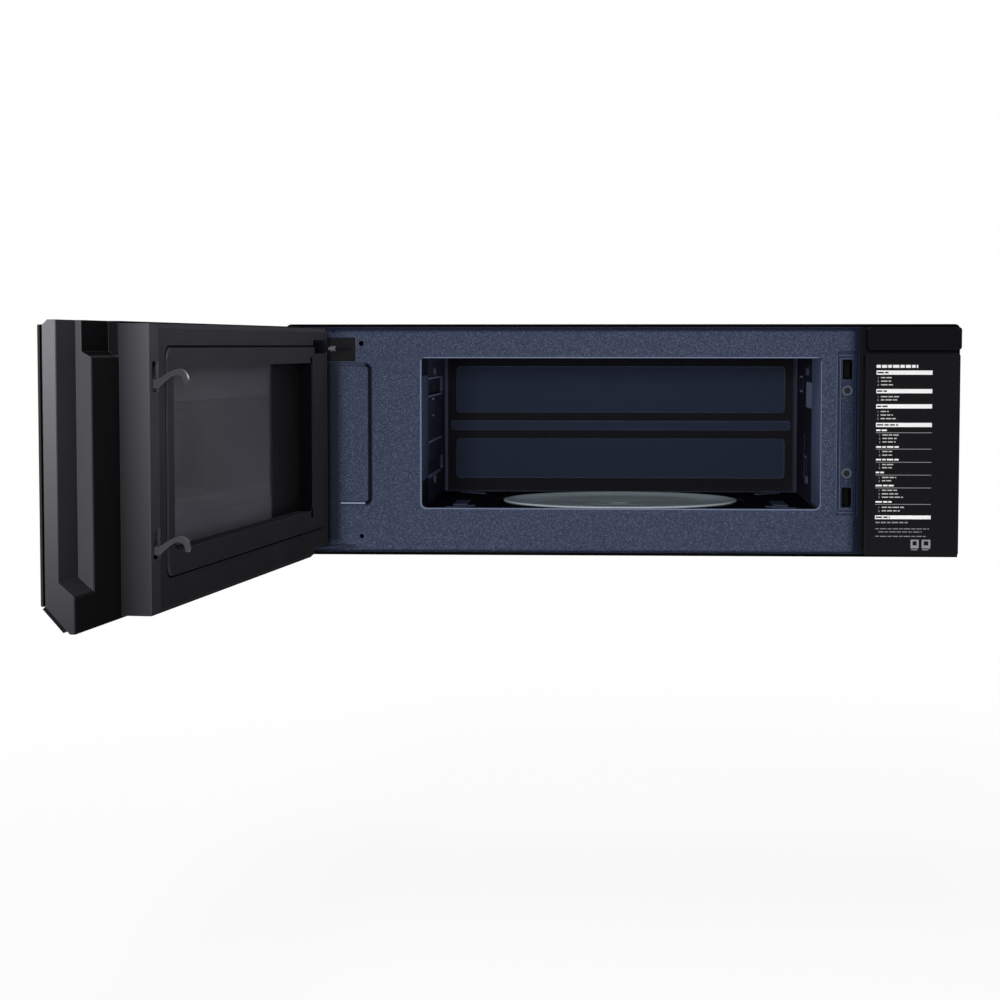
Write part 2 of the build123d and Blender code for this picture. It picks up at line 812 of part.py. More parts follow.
# ---- Cooling fan: shroud, impeller and motor
fan_place = (fan_x, base + fan_height)
shroud_sheet = 2.0
shroud_length = 20.0
fan_shaft = 2.5
with BuildPart() as fan_shroud:
    body_box((wall_outside + 4, case_inside - 4), (fan_depth, fan_depth + shroud_sheet), (filter_sill, body_height - 66.0))
    drum(at_depth(fan_depth), fan_place, fan_radius + 4, -shroud_length)
    drum(at_depth(fan_depth - 1), fan_place, fan_radius + 2, -shroud_length - 2, Mode.SUBTRACT)
    body_box(
        around(fan_x, 2 * fan_radius + 6),
        (fan_depth + shroud_length - shroud_sheet, fan_depth + shroud_length),
        around(fan_height, 30),
    )
    drum(at_depth(fan_depth - 1), fan_place, fan_shaft + 1.5, -shroud_length - 2, Mode.SUBTRACT)
keep(fan_shroud, "fan_shroud")

with BuildPart() as fan_impeller:
    drum(at_depth(fan_depth + 3), fan_place, 15, -12)
    for step in range(fan_blades):
        lean = 2 * pi * step / fan_blades
        outward = Vector(cos(lean), 0, sin(lean))
        blade_root = Vector(fan_x, face_y + fan_depth + 9, base + fan_height) + outward * 13
        with BuildSketch(Plane(origin=blade_root, x_dir=(0, 1, 0), z_dir=outward)) as blade:
            Rectangle(14, 1.6, rotation=50)
        blade_tip = blade_root + outward * (fan_radius - 15)
        with BuildSketch(Plane(origin=blade_tip, x_dir=(0, 1, 0), z_dir=outward)) as blade_end:
            Rectangle(26, 1.6, rotation=66)
        loft([blade.sketch.face(), blade_end.sketch.face()])
    drum(at_depth(fan_depth), fan_place, fan_shaft + pin_clearance, -20, Mode.SUBTRACT)
keep(fan_impeller, "fan_impeller")

motor_front = fan_depth + shroud_length + seat
with BuildPart() as fan_motor:
    body_box(around(fan_x, 50), (motor_front, motor_front + 18), around(fan_height, 50))
    drum(at_depth(motor_front + 18), fan_place, 16, -9)
    drum(at_depth(fan_depth + 4), fan_place, fan_shaft, fan_depth + 4 - motor_front)
keep(fan_motor, "fan_motor")

# ---- Control board on the right side of the case
board_sheet = 1.6
board_x = case_inside - seat - 6
with BuildPart() as control_board:
    body_box((board_x - board_sheet, board_x), (64.0, 230.0), (98.0, body_height - 48.0))
    for depth in (72.0, 222.0):
        for height in (106.0, body_height - 56.0):
            drum(side_wall(board_x, 1), (depth, height), 3, 6)
    for depth, height, length, rise, depth_out in (
        (90.0, body_height - 72.0, 30.0, 26.0, 20.0),
        (130.0, body_height - 72.0, 30.0, 26.0, 20.0),
        (180.0, body_height - 77.0, 44.0, 34.0, 28.0),
        (100.0, 130.0, 18.0, 18.0, 16.0),
        (125.0, 130.0, 18.0, 18.0, 16.0),
        (160.0, 125.0, 34.0, 12.0, 10.0),
    ):
        body_box((board_x - board_sheet - depth_out, board_x - board_sheet), around(depth, length), around(height, rise))
keep(control_board, "control_board")

with BuildPart() as cord_gland:
    gland_place = (cord_x, face_y + cord_depth)
    drum(at_height(case_ceiling - seat - 12), gland_place, cord_bore + 3.7, 12 + seat + case_sheet)
    drum(at_height(case_ceiling - seat - 3), gland_place, cord_bore + 8, 3)
    drum(at_height(case_ceiling - seat - 13), gland_place, cord_bore, 20, Mode.SUBTRACT)
keep(cord_gland, "cord_gland")

# ---- Exhaust: scroll housing, wheel and motor in the left bay
blower_place = (blower_depth, blower_height)
scroll_rear = 92.0
scroll_crown = 69.5
scroll_steps = 12
inlet_radius = blower_radius - 14
blower_shaft = 4.0
housing_side = blower_width / 2 + housing_sheet + 1.0
scroll_bottom = blower_height - scroll_rear + (scroll_rear - scroll_crown) / 3
outlet_rise = ceiling_height + cavity_sheet + 0.5


def scroll(half, inset):
    # Sketched in depth and height: a spiral around the wheel that ends in a chimney
    rear = scroll_rear - inset
    crown = scroll_crown - inset
    spiral = []
    for step in range(scroll_steps + 1):
        angle = -1.5 * pi * step / scroll_steps
        radius = rear - (rear - crown) * step / scroll_steps
        spiral.append((blower_depth + radius * cos(angle), blower_height + radius * sin(angle)))
    chimney = blower_depth + 14 + inset
    rear_top = (blower_depth + rear, outlet_rise)
    with BuildSketch(side_wall(blower_x - half, 1)) as outline:
        with BuildLine(mode=Mode.PRIVATE) as path:
            Line(rear_top, spiral[0])
            Spline(*spiral)
            Polyline(spiral[-1], (chimney, spiral[-1][1]), (chimney, outlet_rise), rear_top)
        make_face(path.edges())
    extrude(outline.sketch, amount=2 * half)


with BuildPart() as scroll_room:
    scroll(housing_side - housing_sheet, housing_sheet)
    drum(
        side_wall(blower_x - housing_side - 1, 1),
        blower_place,
        inlet_radius,
        2 * housing_side + 2,
    )
with BuildPart() as blower_housing:
    scroll(housing_side, 0)
    body_box(
        around(blower_x, 2 * (housing_side - housing_sheet)),
        (blower_depth + 14 + housing_sheet, blower_depth + scroll_rear - housing_sheet),
        (outlet_rise - 30, outlet_rise + 1),
        Mode.SUBTRACT,
    )
    for depth in (blower_depth - 26, blower_depth + 26):
        body_box(around(blower_x, 50), around(depth, 8), (filter_sill, scroll_bottom + 10))
    with Locations((0, 0, 0)):
        add(scroll_room.part, mode=Mode.SUBTRACT)
keep(blower_housing, "blower_housing")

with BuildPart() as blower_wheel:
    wheel_left = blower_x - blower_width / 2
    drum(side_wall(blower_x - 1, 1), blower_place, blower_radius - 1, 2)
    drum(side_wall(blower_x - 9, 1), blower_place, 10, 18)
    for x in (wheel_left, wheel_left + blower_width - 2):
        drum(side_wall(x, 1), blower_place, blower_radius, 2)
        drum(side_wall(x - 1, 1), blower_place, blower_radius - 10, 4, Mode.SUBTRACT)
    with BuildSketch(side_wall(wheel_left, 1)) as blades:
        with Locations(blower_place):
            with PolarLocations(blower_radius - 5, blower_blades):
                Rectangle(9, 1.2, rotation=28)
    extrude(blades.sketch, amount=blower_width)
    drum(side_wall(blower_x - 12, 1), blower_place, blower_shaft + pin_clearance, 30, Mode.SUBTRACT)
keep(blower_wheel, "blower_wheel")

motor_face = blower_x - housing_side - seat
with BuildPart() as blower_motor:
    drum(side_wall(motor_face, -1), (-blower_depth, blower_height), 32, 32)
    with BuildSketch(side_wall(motor_face, -1)) as spider:
        with Locations((-blower_depth, blower_height)):
            with PolarLocations(22, 3, start_angle=90):
                SlotOverall(inlet_radius + 26, 12)
    extrude(spider.sketch, amount=3)
    drum(side_wall(motor_face, 1), blower_place, blower_shaft, blower_x + 14 - motor_face)
keep(blower_motor, "blower_motor")

# ---- Exhaust duct over the cavity, with the damper in the case's opening
duct_x = (blower_x - housing_side - 4, outlet_x[1] + 6)
duct_span = (outlet_span[0] - 5, blower_depth + scroll_rear + 2)
duct_z = (outlet_rise + seat, case_ceiling - seat)
duct_sheet = 1.0
with BuildPart() as exhaust_duct:
    body_box(duct_x, duct_span, duct_z)
    body_box(
        (duct_x[0] + duct_sheet, duct_x[1] - duct_sheet),
        (duct_span[0] + duct_sheet, duct_span[1] - duct_sheet),
        (duct_z[0] + duct_sheet, duct_z[1] - duct_sheet),
        Mode.SUBTRACT,
    )
    body_box(
        around(blower_x, 2 * (housing_side - housing_sheet)),
        (blower_depth + 14 + housing_sheet, blower_depth + scroll_rear - housing_sheet),
        (duct_z[0] - 1, duct_z[0] + duct_sheet + 1),
        Mode.SUBTRACT,
    )
    body_box(
        (outlet_x[0] - 1, outlet_x[1] + 1),
        (outlet_span[0] - 1, outlet_span[1] + 1),
        (duct_z[1] - duct_sheet - 1, duct_z[1] + 1),
        Mode.SUBTRACT,
    )
keep(exhaust_duct, "exhaust_duct")

collar_x = (outlet_x[0] + seat, outlet_x[1] - seat)
collar_span = (outlet_span[0] + seat, outlet_span[1] - seat)
collar_wall = 2.0
flap_level = body_height - damper_collar + 2.5
flap_pin = 1.5
flap_pivot = (collar_span[1] - collar_wall - flap_pin - 2, flap_level)
with BuildPart() as damper_frame:
    body_box(collar_x, collar_span, (body_height - damper_collar, body_height))
    body_box(
        (collar_x[0] + collar_wall, collar_x[1] - collar_wall),
        (collar_span[0] + collar_wall, collar_span[1] - collar_wall),
        (body_height - damper_collar - 1, body_height + 1),
        Mode.SUBTRACT,
    )
    drum(
        side_wall(collar_x[0] - 1, 1),
        flap_pivot,
        flap_pin + pin_clearance,
        span(collar_x) + 2,
        Mode.SUBTRACT,
    )
keep(damper_frame, "damper_frame")

with BuildPart() as damper_flap:
    flap_x = (collar_x[0] + collar_wall + 1, collar_x[1] - collar_wall - 1)
    body_box(
        flap_x,
        (collar_span[0] + collar_wall + 1, flap_pivot[0]),
        (flap_level, flap_level + damper_sheet),
    )
    drum(side_wall(flap_x[0], 1), flap_pivot, flap_pin + 1, span(flap_x))
    drum(side_wall(collar_x[0] + seat, 1), flap_pivot, flap_pin, span(collar_x) - 2 * seat)
keep(damper_flap, "damper_flap")

# ---- Top vent grille and the charcoal filter that hangs in its brackets
grille_inside = (grille_x[0] + seat, grille_x[1] - seat)
grille_seat = (grille_span[0] + seat, grille_span[1] - seat)
grille_wall = 3.0
grille_bottom = body_height - 5
charcoal_top = grille_bottom - seat
charcoal_x = (grille_inside[0] + 8, grille_inside[1] - 8)
with BuildPart() as top_grille:
    body_box(grille_inside, grille_seat, (grille_bottom, body_height))
    body_box(
        (grille_inside[0] + grille_wall, grille_inside[1] - grille_wall),
        (grille_seat[0] + grille_wall, grille_seat[1] - grille_wall),
        (grille_bottom - 1, body_height + 1),
        Mode.SUBTRACT,
    )
    pitch = (span(grille_seat) - grille_wall) / (grille_slats + 1)
    for step in range(grille_slats):
        body_box(
            grille_inside,
            around(grille_seat[0] + grille_wall / 2 + pitch * (step + 1), 1.6),
            (grille_bottom, body_height - 0.5),
        )
    for x in (-grille_length / 4, 0, grille_length / 4):
        body_box(around(x, 2), grille_seat, (grille_bottom, body_height - 1))
    for side in (-1, 1):
        bracket_x = sorted((side * charcoal_x[1] + side * seat, side * grille_inside[1]))
        bracket_foot = charcoal_top - charcoal_thickness - seat
        body_box(bracket_x, grille_seat, (bracket_foot - 1.5, grille_bottom + 1))
        ledge_x = sorted((side * charcoal_x[1] - side * 5, side * grille_inside[1]))
        body_box(ledge_x, grille_seat, (bracket_foot - 1.5, bracket_foot))
keep(top_grille, "top_grille")

with BuildPart() as charcoal_filter:
    charcoal_z = (charcoal_top - charcoal_thickness, charcoal_top)
    body_box(charcoal_x, (grille_seat[0] + 1, grille_seat[1] - 1), charcoal_z)
keep(charcoal_filter, "charcoal_filter")

# ---- Grease filters on their rails
for side, node in ((-1, "grease_filter_left"), (1, "grease_filter_right")):
    with BuildPart() as grease_filter:
        filter_span = around(filter_depth, filter_width)
        filter_space = around(side * filter_x, filter_length)
        filter_z = (filter_sill, filter_sill + filter_thickness)
        body_box(filter_space, filter_span, filter_z)
        for cut_z in ((filter_z[0] - 1, filter_z[0] + 2.5), (filter_z[1] - 2.5, filter_z[1] + 1)):
            body_box(
                (filter_space[0] + filter_rim, filter_space[1] - filter_rim),
                (filter_span[0] + filter_rim, filter_span[1] - filter_rim),
                cut_z,
                Mode.SUBTRACT,
            )
        body_box(around(side * (filter_x - 60), 26), around(filter_depth, 12), (0.4, filter_z[0] + 3))
    keep(grease_filter, node)

# ---- Cooktop light: board on four legs and the hinged cover below it
cover_x = around(0, light_length - 2 * rail_lip - 2 * seat)
light_span = around(light_depth, light_width - 2 * rail_lip - 2 * seat)
light_pivot = (light_span[1] - 3, 5.0)
with BuildPart() as light_cover_piece:
    body_box(cover_x, light_span, (0, light_cover))
    body_box(cover_x, around(light_pivot[0], 3), (0, light_pivot[1]))
    drum(side_wall(cover_x[0] - 6, 1), light_pivot, light_pin, span(cover_x) + 12)
keep(light_cover_piece, "light_cover")

with BuildPart() as light_board:
    board_z = light_pivot[1] + 8
    body_box(around(0, light_length + 14), around(light_depth, 30), (board_z, board_z + board_sheet))
    for x in (-light_length / 2 - 3, light_length / 2 + 3):
        for depth in (light_depth - 11, light_depth + 11):
            drum(at_height(filter_sill), (x, face_y + depth), 2.5, board_z - filter_sill)
    for step in range(4):
        body_box(around(-33 + 22 * step, 8), around(light_depth, 8), (board_z - 1.5, board_z))
keep(light_board, "light_board")

# ---- Interlock bracket behind the latch slots, its levers, switches and screws
bracket_x = around(latch_x, strip_width + 2)
bracket_depth = 46.0
bracket_z = (strip_z[0] - 2, strip_z[1] + 2)
pocket_x = around(latch_x, slot_width + 3)
lever_depth = hook_reach - door_gap + 4.5
lever_sheet = 4.0
lever_width = 9.0
lever_pin = 1.5
with BuildPart() as interlock_bracket:
    body_box(bracket_x, (strip_back, strip_back + bracket_depth), bracket_z)
    for height in slot_heights:
        body_box(
            pocket_x,
            (strip_back - 1, strip_back + bracket_depth - 5),
            around(height, slot_height + 5),
            Mode.SUBTRACT,
        )
        drum(
            side_wall(bracket_x[0] - 1, 1),
            (lever_depth, height + 9),
            lever_pin + pin_clearance,
            span(bracket_x) + 2,
            Mode.SUBTRACT,
        )
    for height in bracket_screws:
        drum(at_depth(strip_back - 1), (latch_x, base + height), 1.95, -12, Mode.SUBTRACT)
    body_box(
        pocket_x,
        (strip_back + 16, strip_back + bracket_depth + 1),
        (bracket_screws[0] - 8, bracket_screws[1] + 8),
        Mode.SUBTRACT,
    )
keep(interlock_bracket, "interlock_bracket")

for height, node in zip(slot_heights, ("lower_interlock_lever", "upper_interlock_lever")):
    with BuildPart() as lever:
        body_box(around(latch_x, lever_width), around(lever_depth, lever_sheet), (height - 9, height + 9))
        lever_axis = (lever_depth, height + 9)
        drum(side_wall(latch_x - lever_width / 2, 1), lever_axis, 3, lever_width)
        drum(side_wall(bracket_x[0] + seat, 1), lever_axis, lever_pin, span(bracket_x) - 2 * seat)
    keep(lever, node)

with BuildPart() as interlock_switches:
    switch_depth = strip_back + bracket_depth + seat
    for height in (slot_heights[0] + 2, slot_heights[1] - 14, slot_heights[1] + 8):
        body_box(around(latch_x, 10), (switch_depth, switch_depth + 16), around(height, 20))
        for offset in (-6, 0, 6):
            body_box(
                around(latch_x, 3),
                (switch_depth + 16, switch_depth + 22),
                around(height + offset, 0.8),
            )
keep(interlock_switches, "interlock_switches")

with BuildPart() as bracket_screw_group:
    for height in bracket_screws:
        screw_place = (latch_x, base + height)
        drum(at_depth(strip_press - seat), screw_place, 5.6, 1.2)
        drum(at_depth(strip_press - seat), screw_place, 1.85, -11)
        drum(at_depth(strip_press - seat - 1.2), screw_place, 3.6, 0.9)
keep(bracket_screw_group, "bracket_screws")

# ---- Right of the opening: a black base on the face, with the panel and the block above it
base_x = (panel_left - base_margin, frame_x[1])
base_z = (frame_z[0], frame_z[1])
with BuildPart() as panel_base:
    upright(at_depth(-seat), base_x, base_z, panel_corner, panel_backing)
keep(panel_base, "panel_base")

panel_seat = seat + panel_backing + seat
panel_x = (panel_left, frame_x[1])
panel_z = (panel_bottom, panel_top)
block_x = (panel_left + 2, frame_x[1])
block_z = (panel_top + block_gap, block_top)
rib_heights = (60.0, 120.0, 180.0)


def moulding(x, height, reach):
    # A tray that opens to the back, seated on the base
    upright(at_depth(-panel_seat), x, height, panel_corner, reach - panel_seat)
    upright(
        at_depth(-panel_seat),
        (x[0] + moulding_wall, x[1] - moulding_wall),
        (height[0] + moulding_wall, height[1] - moulding_wall),
        1.5,
        reach - panel_seat - moulding_wall,
        Mode.SUBTRACT,
    )


with BuildPart() as side_panel:
    moulding(panel_x, panel_z, panel_reach)
    for height in rib_heights:
        body_box(panel_x, (1 - panel_reach, -panel_seat), around(height, 1.6))
keep(side_panel, "side_panel")

with BuildPart() as corner_block:
    moulding(block_x, block_z, block_reach)
keep(corner_block, "corner_block")

# ---- Hinge brackets: a flange behind the face and an arm that reaches through it to the pivot
flange_gap = (face_sheet + seat, face_sheet + seat + hinge_sheet)
upper_flange = (left_recess_z[1] + 2, frame_z[1] - face_sheet - 4)
lower_flange = (frame_z[0] + face_sheet + 1, 50.0)
eye = (hinge_x, face_y - hinge_reach)
tab_x = (-329.0, -322.6)
tab_reach = 3.0
tab_rise = 5.6
peg_hole_growth = 1.0  # of the holes behind the peg holes
for arm_bottom, flange_z, node in (
    (upper_arm, upper_flange, "upper_hinge"),
    (lower_arm - hinge_sheet, lower_flange, "lower_hinge"),
):
    with BuildPart() as hinge:
        body_box(around(middle(hinge_cut_x), span(hinge_cut_x) + 25.0), flange_gap, flange_z)
        with BuildSketch(at_height(arm_bottom)) as arm:
            with Locations(eye):
                Circle(hinge_eye)
            with Locations((middle(hinge_cut_x) + 3, face_y + flange_gap[1] - 1)):
                Rectangle(18, 2)
            make_hull()
        extrude(arm.sketch, amount=hinge_sheet)
        drum(at_height(arm_bottom - 1), eye, hinge_pin + pin_clearance, hinge_sheet + 2, Mode.SUBTRACT)
        if node == "upper_hinge":
            body_box(tab_x, (-tab_reach, flange_gap[0] + 1), around(arm_bottom + hinge_sheet / 2, tab_rise))
        for x, height, radius in peg_holes:
            drum(at_depth(-1), (x, base + height), radius + peg_hole_growth, -8, Mode.SUBTRACT)
    keep(hinge, node)

with BuildPart() as hinge_pins:
    upper_foot = upper_arm - pin_length
    drum(at_height(upper_foot), eye, hinge_pin, pin_length + hinge_sheet + seat)
    drum(at_height(upper_arm + hinge_sheet + seat), eye, hinge_pin + 2, 2)
    drum(at_height(lower_arm - hinge_sheet - seat), eye, hinge_pin, pin_length + hinge_sheet + seat)
    drum(at_height(lower_arm - hinge_sheet - seat - 2), eye, hinge_pin + 2, 2)
keep(hinge_pins, "hinge_pins")

# ---- Inner cover of the door: bevelled tray with a raised panel, window recess and hook slots
cover_x = (cover_left, cover_right)
cover_z = (cover_bottom, cover_top)
cover_back = door_gap + cover_depth
notch_x = (cover_left - 20, -298.0)
upper_notch = (upper_arm - 4, upper_arm + hinge_sheet + 8)
lower_notch = (0, lower_arm + 4)
panel_edge_x = (-340.0, 230.0)
panel_edge_z = (36.0, body_height - 26.0)
recess_x = (-286.0, 212.0)
recess_z = (57.0, body_height - 43.0)
recess_floor = door_gap + recess_depth
bush_radius = 5.7
bush_rim = 1.6
rim_sheet = 2.0
ear_sheet = 3.0
ear_drop = 12.0  # of the ears from the notches, which lets the bushes stand between them
ear_reach = 2.0  # of the ears beyond the back of the cover


def cover_form(inset, back):
    # The tray's outline moved inwards by inset: its plan cut to its side view
    left = cover_x[0] + inset
    right = cover_x[1] - inset
    near = door_gap + inset
    with BuildSketch(door_plan(cover_z[0] + inset)) as plan:
        Polygon(
            (left, -back),
            (right, -back),
            (right, -near - edge_bevel),
            (right - end_bevel, -near),
            (left + edge_bevel, -near),
            (left, -near - edge_bevel),
            align=None,
        )
    extrude(plan.sketch, amount=span(cover_z) - 2 * inset)
    with BuildSketch(door_side(left - 1)) as view:
        Polygon(
            (back, cover_z[0] + inset),
            (near + edge_bevel, cover_z[0] + inset),
            (near, cover_z[0] + inset + edge_bevel),
            (near, cover_z[1] - inset - edge_bevel),
            (near + edge_bevel, cover_z[1] - inset),
            (back, cover_z[1] - inset),
            align=None,
        )
    extrude(view.sketch, amount=-(right - left + 2), mode=Mode.INTERSECT)


def hinge_notches(grow, back, mode=Mode.SUBTRACT):
    # Room for the two hinge arms over the whole swing
    for notch in (upper_notch, lower_notch):
        door_box(
            (notch_x[0], notch_x[1] + grow),
            (door_gap - 9, back),
            (notch[0] - grow, notch[1] + grow),
            mode,
        )


with BuildPart() as cover_room:
    cover_form(cover_wall, cover_back + 1)
    hinge_notches(cover_wall, cover_back + 2)
    upright(
        door_face(door_gap - 1),
        (recess_x[0] - cover_wall, recess_x[1] + cover_wall),
        (recess_z[0] - cover_wall, recess_z[1] + cover_wall),
        recess_corner + cover_wall,
        recess_depth + 1,
        Mode.SUBTRACT,
    )
with BuildPart() as door_inner_cover:
    cover_form(0, cover_back)
    upright(door_face(door_gap - raised_panel), panel_edge_x, panel_edge_z, 12, raised_panel)
    upright(door_face(0), recess_x, recess_z, recess_corner, cover_back, Mode.SUBTRACT)
    with Locations((0, 0, 0)):
        add(cover_room.part, mode=Mode.SUBTRACT)
    hinge_notches(0, cover_back + 2)
    for height in slot_heights:
        door_box(around(latch_x, 9.4), (0, door_gap + 10), around(height, slot_height + 4), Mode.SUBTRACT)
    pivot_place = (hinge_x, -hinge_reach)
    drum(door_plan(0), pivot_place, bush_radius + 0.6, upper_notch[1], Mode.SUBTRACT)
keep(door_inner_cover, "door_inner_cover")

# ---- Steel choke frame of the door, with slotted walls round the window and ears for the bushes
choke_x = (hinge_x + bush_radius + bush_rim + 1, latch_x - hook_thickness / 2 - 6)
choke_z = (lower_notch[1] + cover_wall + 1, upper_notch[0] - cover_wall - 1)
lower_ear = lower_notch[1] + cover_wall + ear_drop
upper_ear = upper_notch[0] - cover_wall - ear_drop
choke_sheet = 1.0
choke_plate = recess_floor + seat + inner_glass_sheet + seat
choke_near = door_gap + cover_wall + edge_bevel + 1
choke_pitch = 28.0
choke_slot = 5.0
window_x = (-220.0, 204.0)
window_z = (80.0, body_height - 58.0)
ear_end = cover_back + ear_reach
with BuildPart() as door_choke_frame:
    door_box(choke_x, (choke_near, choke_plate + choke_sheet), choke_z)
    door_box(
        (choke_x[0] + choke_sheet, choke_x[1] - choke_sheet),
        (choke_near - 1, choke_plate),
        (choke_z[0] + choke_sheet, choke_z[1] - choke_sheet),
        Mode.SUBTRACT,
    )
    door_box(window_x, (choke_near, choke_plate + choke_sheet + 1), window_z, Mode.SUBTRACT)
    slots_along = int((span(choke_x) - 30) // choke_pitch)
    slots_up = int((span(choke_z) - 30) // choke_pitch)
    with BuildSketch(door_face(choke_near)) as choke_slots:
        with Locations((middle(choke_x), base + middle(choke_z))):
            with GridLocations(choke_pitch, span(choke_z) - choke_sheet, slots_along, 2):
                Rectangle(choke_slot, 4 * choke_sheet)
            with GridLocations(span(choke_x) - choke_sheet, choke_pitch, 2, slots_up):
                Rectangle(4 * choke_sheet, choke_slot)
    extrude(choke_slots.sketch, amount=9, mode=Mode.SUBTRACT)
    for level in (upper_ear, lower_ear - ear_sheet):
        door_box((cover_x[0] + cover_wall + 1, hinge_x + 24), (choke_plate, ear_end), (level, level + ear_sheet))
        drum(door_plan(level - 1), pivot_place, bush_radius + pin_clearance, 5, Mode.SUBTRACT)
keep(door_choke_frame, "door_choke_frame")

with BuildPart() as hinge_bushes:
    for start, end, rim in (
        (upper_ear - 2, upper_arm - seat, upper_ear + ear_sheet + seat),
        (lower_arm + seat, lower_ear + 2, lower_ear - ear_sheet - seat - rim_sheet),
    ):
        drum(door_plan(start), pivot_place, bush_radius, end - start)
        drum(door_plan(rim), pivot_place, bush_radius + bush_rim, rim_sheet)
        drum(door_plan(start - 1), pivot_place, hinge_pin + pin_clearance, end - start + 2, Mode.SUBTRACT)
keep(hinge_bushes, "hinge_bushes")

# ---- Window of the door: inner glass behind the recess, perforated screen behind the choke frame
with BuildPart() as door_inner_glass:
    glass_x = (recess_x[0] - 6, recess_x[1] + 6)
    glass_z = (recess_z[0] - 6, recess_z[1] + 6)
    upright(door_face(recess_floor + seat), glass_x, glass_z, recess_corner, inner_glass_sheet)
keep(door_inner_glass, "door_inner_glass")

with BuildPart() as door_screen:
    screen_x = (window_x[0] - 6, window_x[1] + 6)
    screen_z = (window_z[0] - 6, window_z[1] + 6)
    upright(door_face(choke_plate + choke_sheet + seat), screen_x, screen_z, 3, screen_sheet)
keep(door_screen, "door_screen")

# ---- Latch lever with both hooks, its guides and its spring
lever_x = around(latch_x, hook_thickness)
lever_reach = (door_gap + 9, door_gap + 16)
lever_z = (slot_heights[0] - 16, slot_heights[1] + 13)
hook_root = -14.0
hook_low = -9.5
hook_rise = 6.4


def hook_point(out, rise, height):
    # out is measured from the inner face of the door to the body
    return (door_gap - out, height + rise)


with BuildPart() as latch_lever:
    door_box(lever_x, lever_reach, lever_z)
    for height in slot_heights:
        with BuildSketch(door_side(lever_x[0])) as hook:
            with BuildLine():
                Polyline(
                    hook_point(1, hook_low + 7, height),
                    hook_point(hook_root, hook_low + 7, height),
                    hook_point(hook_root, hook_low, height),
                    hook_point(1, hook_low, height),
                )
                Spline(
                    hook_point(1, hook_low, height),
                    hook_point(13, 0.4, height),
                    hook_point(hook_reach - 8, 1.8, height),
                    hook_point(hook_reach - 4.4, -1.0, height),
                    hook_point(hook_reach - 3.6, -6.0, height),
                )
                Line(
                    hook_point(hook_reach - 3.6, -6.0, height),
                    hook_point(hook_reach - 0.6, -6.6, height),
                )
                Spline(
                    hook_point(hook_reach - 0.6, -6.6, height),
                    hook_point(hook_reach, 0.0, height),
                    hook_point(hook_reach - 5, hook_rise, height),
                    hook_point(14, 5.2, height),
                    hook_point(1, hook_low + 7, height),
                )
            make_face()
        extrude(hook.sketch, amount=-hook_thickness)
keep(latch_lever, "latch_lever")

guide_heights = (slot_heights[0] + 33, slot_heights[1] - 33)
with BuildPart() as latch_guides:
    guide_x = (choke_x[1] + seat, lever_x[1] + 3)
    guide_reach = (lever_reach[0] - 2.5, lever_reach[1] + 2.5)
    for height in guide_heights:
        door_box(guide_x, guide_reach, around(height, 14))
        door_box(
            (lever_x[0] - seat, lever_x[1] + seat),
            (lever_reach[0] - seat, lever_reach[1] + seat),
            around(height, 16),
            Mode.SUBTRACT,
        )
keep(latch_guides, "latch_guides")

spring_radius = 3.0
spring_wire = 0.6
spring_turns = 7
spring_place = (latch_x, -middle(lever_reach))
spring_foot = lever_z[1] + seat + spring_wire
spring_head = cover_z[1] - cover_wall - seat - spring_wire
with BuildPart() as latch_spring:
    rise = spring_head - spring_foot
    plan = door_plan(spring_foot)
    with BuildLine(Plane(origin=plan.from_local_coords((*spring_place, 0)), z_dir=(0, 0, 1))) as coil:
        Helix(pitch=rise / spring_turns, height=rise, radius=spring_radius)
    start = coil.edges()[0] @ 0
    with BuildSketch(Plane(origin=start, z_dir=coil.edges()[0] % 0)) as wire:
        RegularPolygon(spring_wire, 6)
    sweep(wire.sketch, path=coil.edges()[0])
    spring_gap = rise / spring_turns - 2 * spring_wire
    print(f"latch spring: least gap between turns {spring_gap:.2f} mm")
keep(latch_spring, "latch_spring")

# ---- Outer frame of the door: a moulding with the finger pocket at its free end
frame_back = cover_back + seat
frame_front = frame_back + frame_depth
door_edge = half_width
door_span = (-door_edge, door_edge)
glass_front = frame_front + gasket_sheet + glass_sheet
slope = hypot(facet_run, facet_rise)
slope_out = (facet_rise / slope, -facet_run / slope)
slope_point = (glass_front, door_bottom + facet_rise)


def slope_height(reach, inset):
    # Height of the bevelled lower edge, moved in by inset, at a reach
    x = slope_point[0] - inset * slope_out[0]
    z = slope_point[1] - inset * slope_out[1]
    return z + (reach - x) * facet_rise / facet_run


def slope_reach(height, inset):
    return glass_front + (height - slope_height(glass_front, inset)) * facet_run / facet_rise


def frame_view(back, front, inset, plane_x, length):
    # Side view of the moulding between two planes, moved in by inset
    skin = strip_sheet + seat + inset
    with BuildSketch(door_side(plane_x)) as view:
        Polygon(
            (back, door_bottom + inset),
            (slope_reach(door_bottom + inset, skin), door_bottom + inset),
            (front, slope_height(front, skin)),
            (front, door_top - facet_top - inset),
            (frame_front - facet_top, door_top - inset),
            (back, door_top - inset),
            align=None,
        )
    extrude(view.sketch, amount=-length)


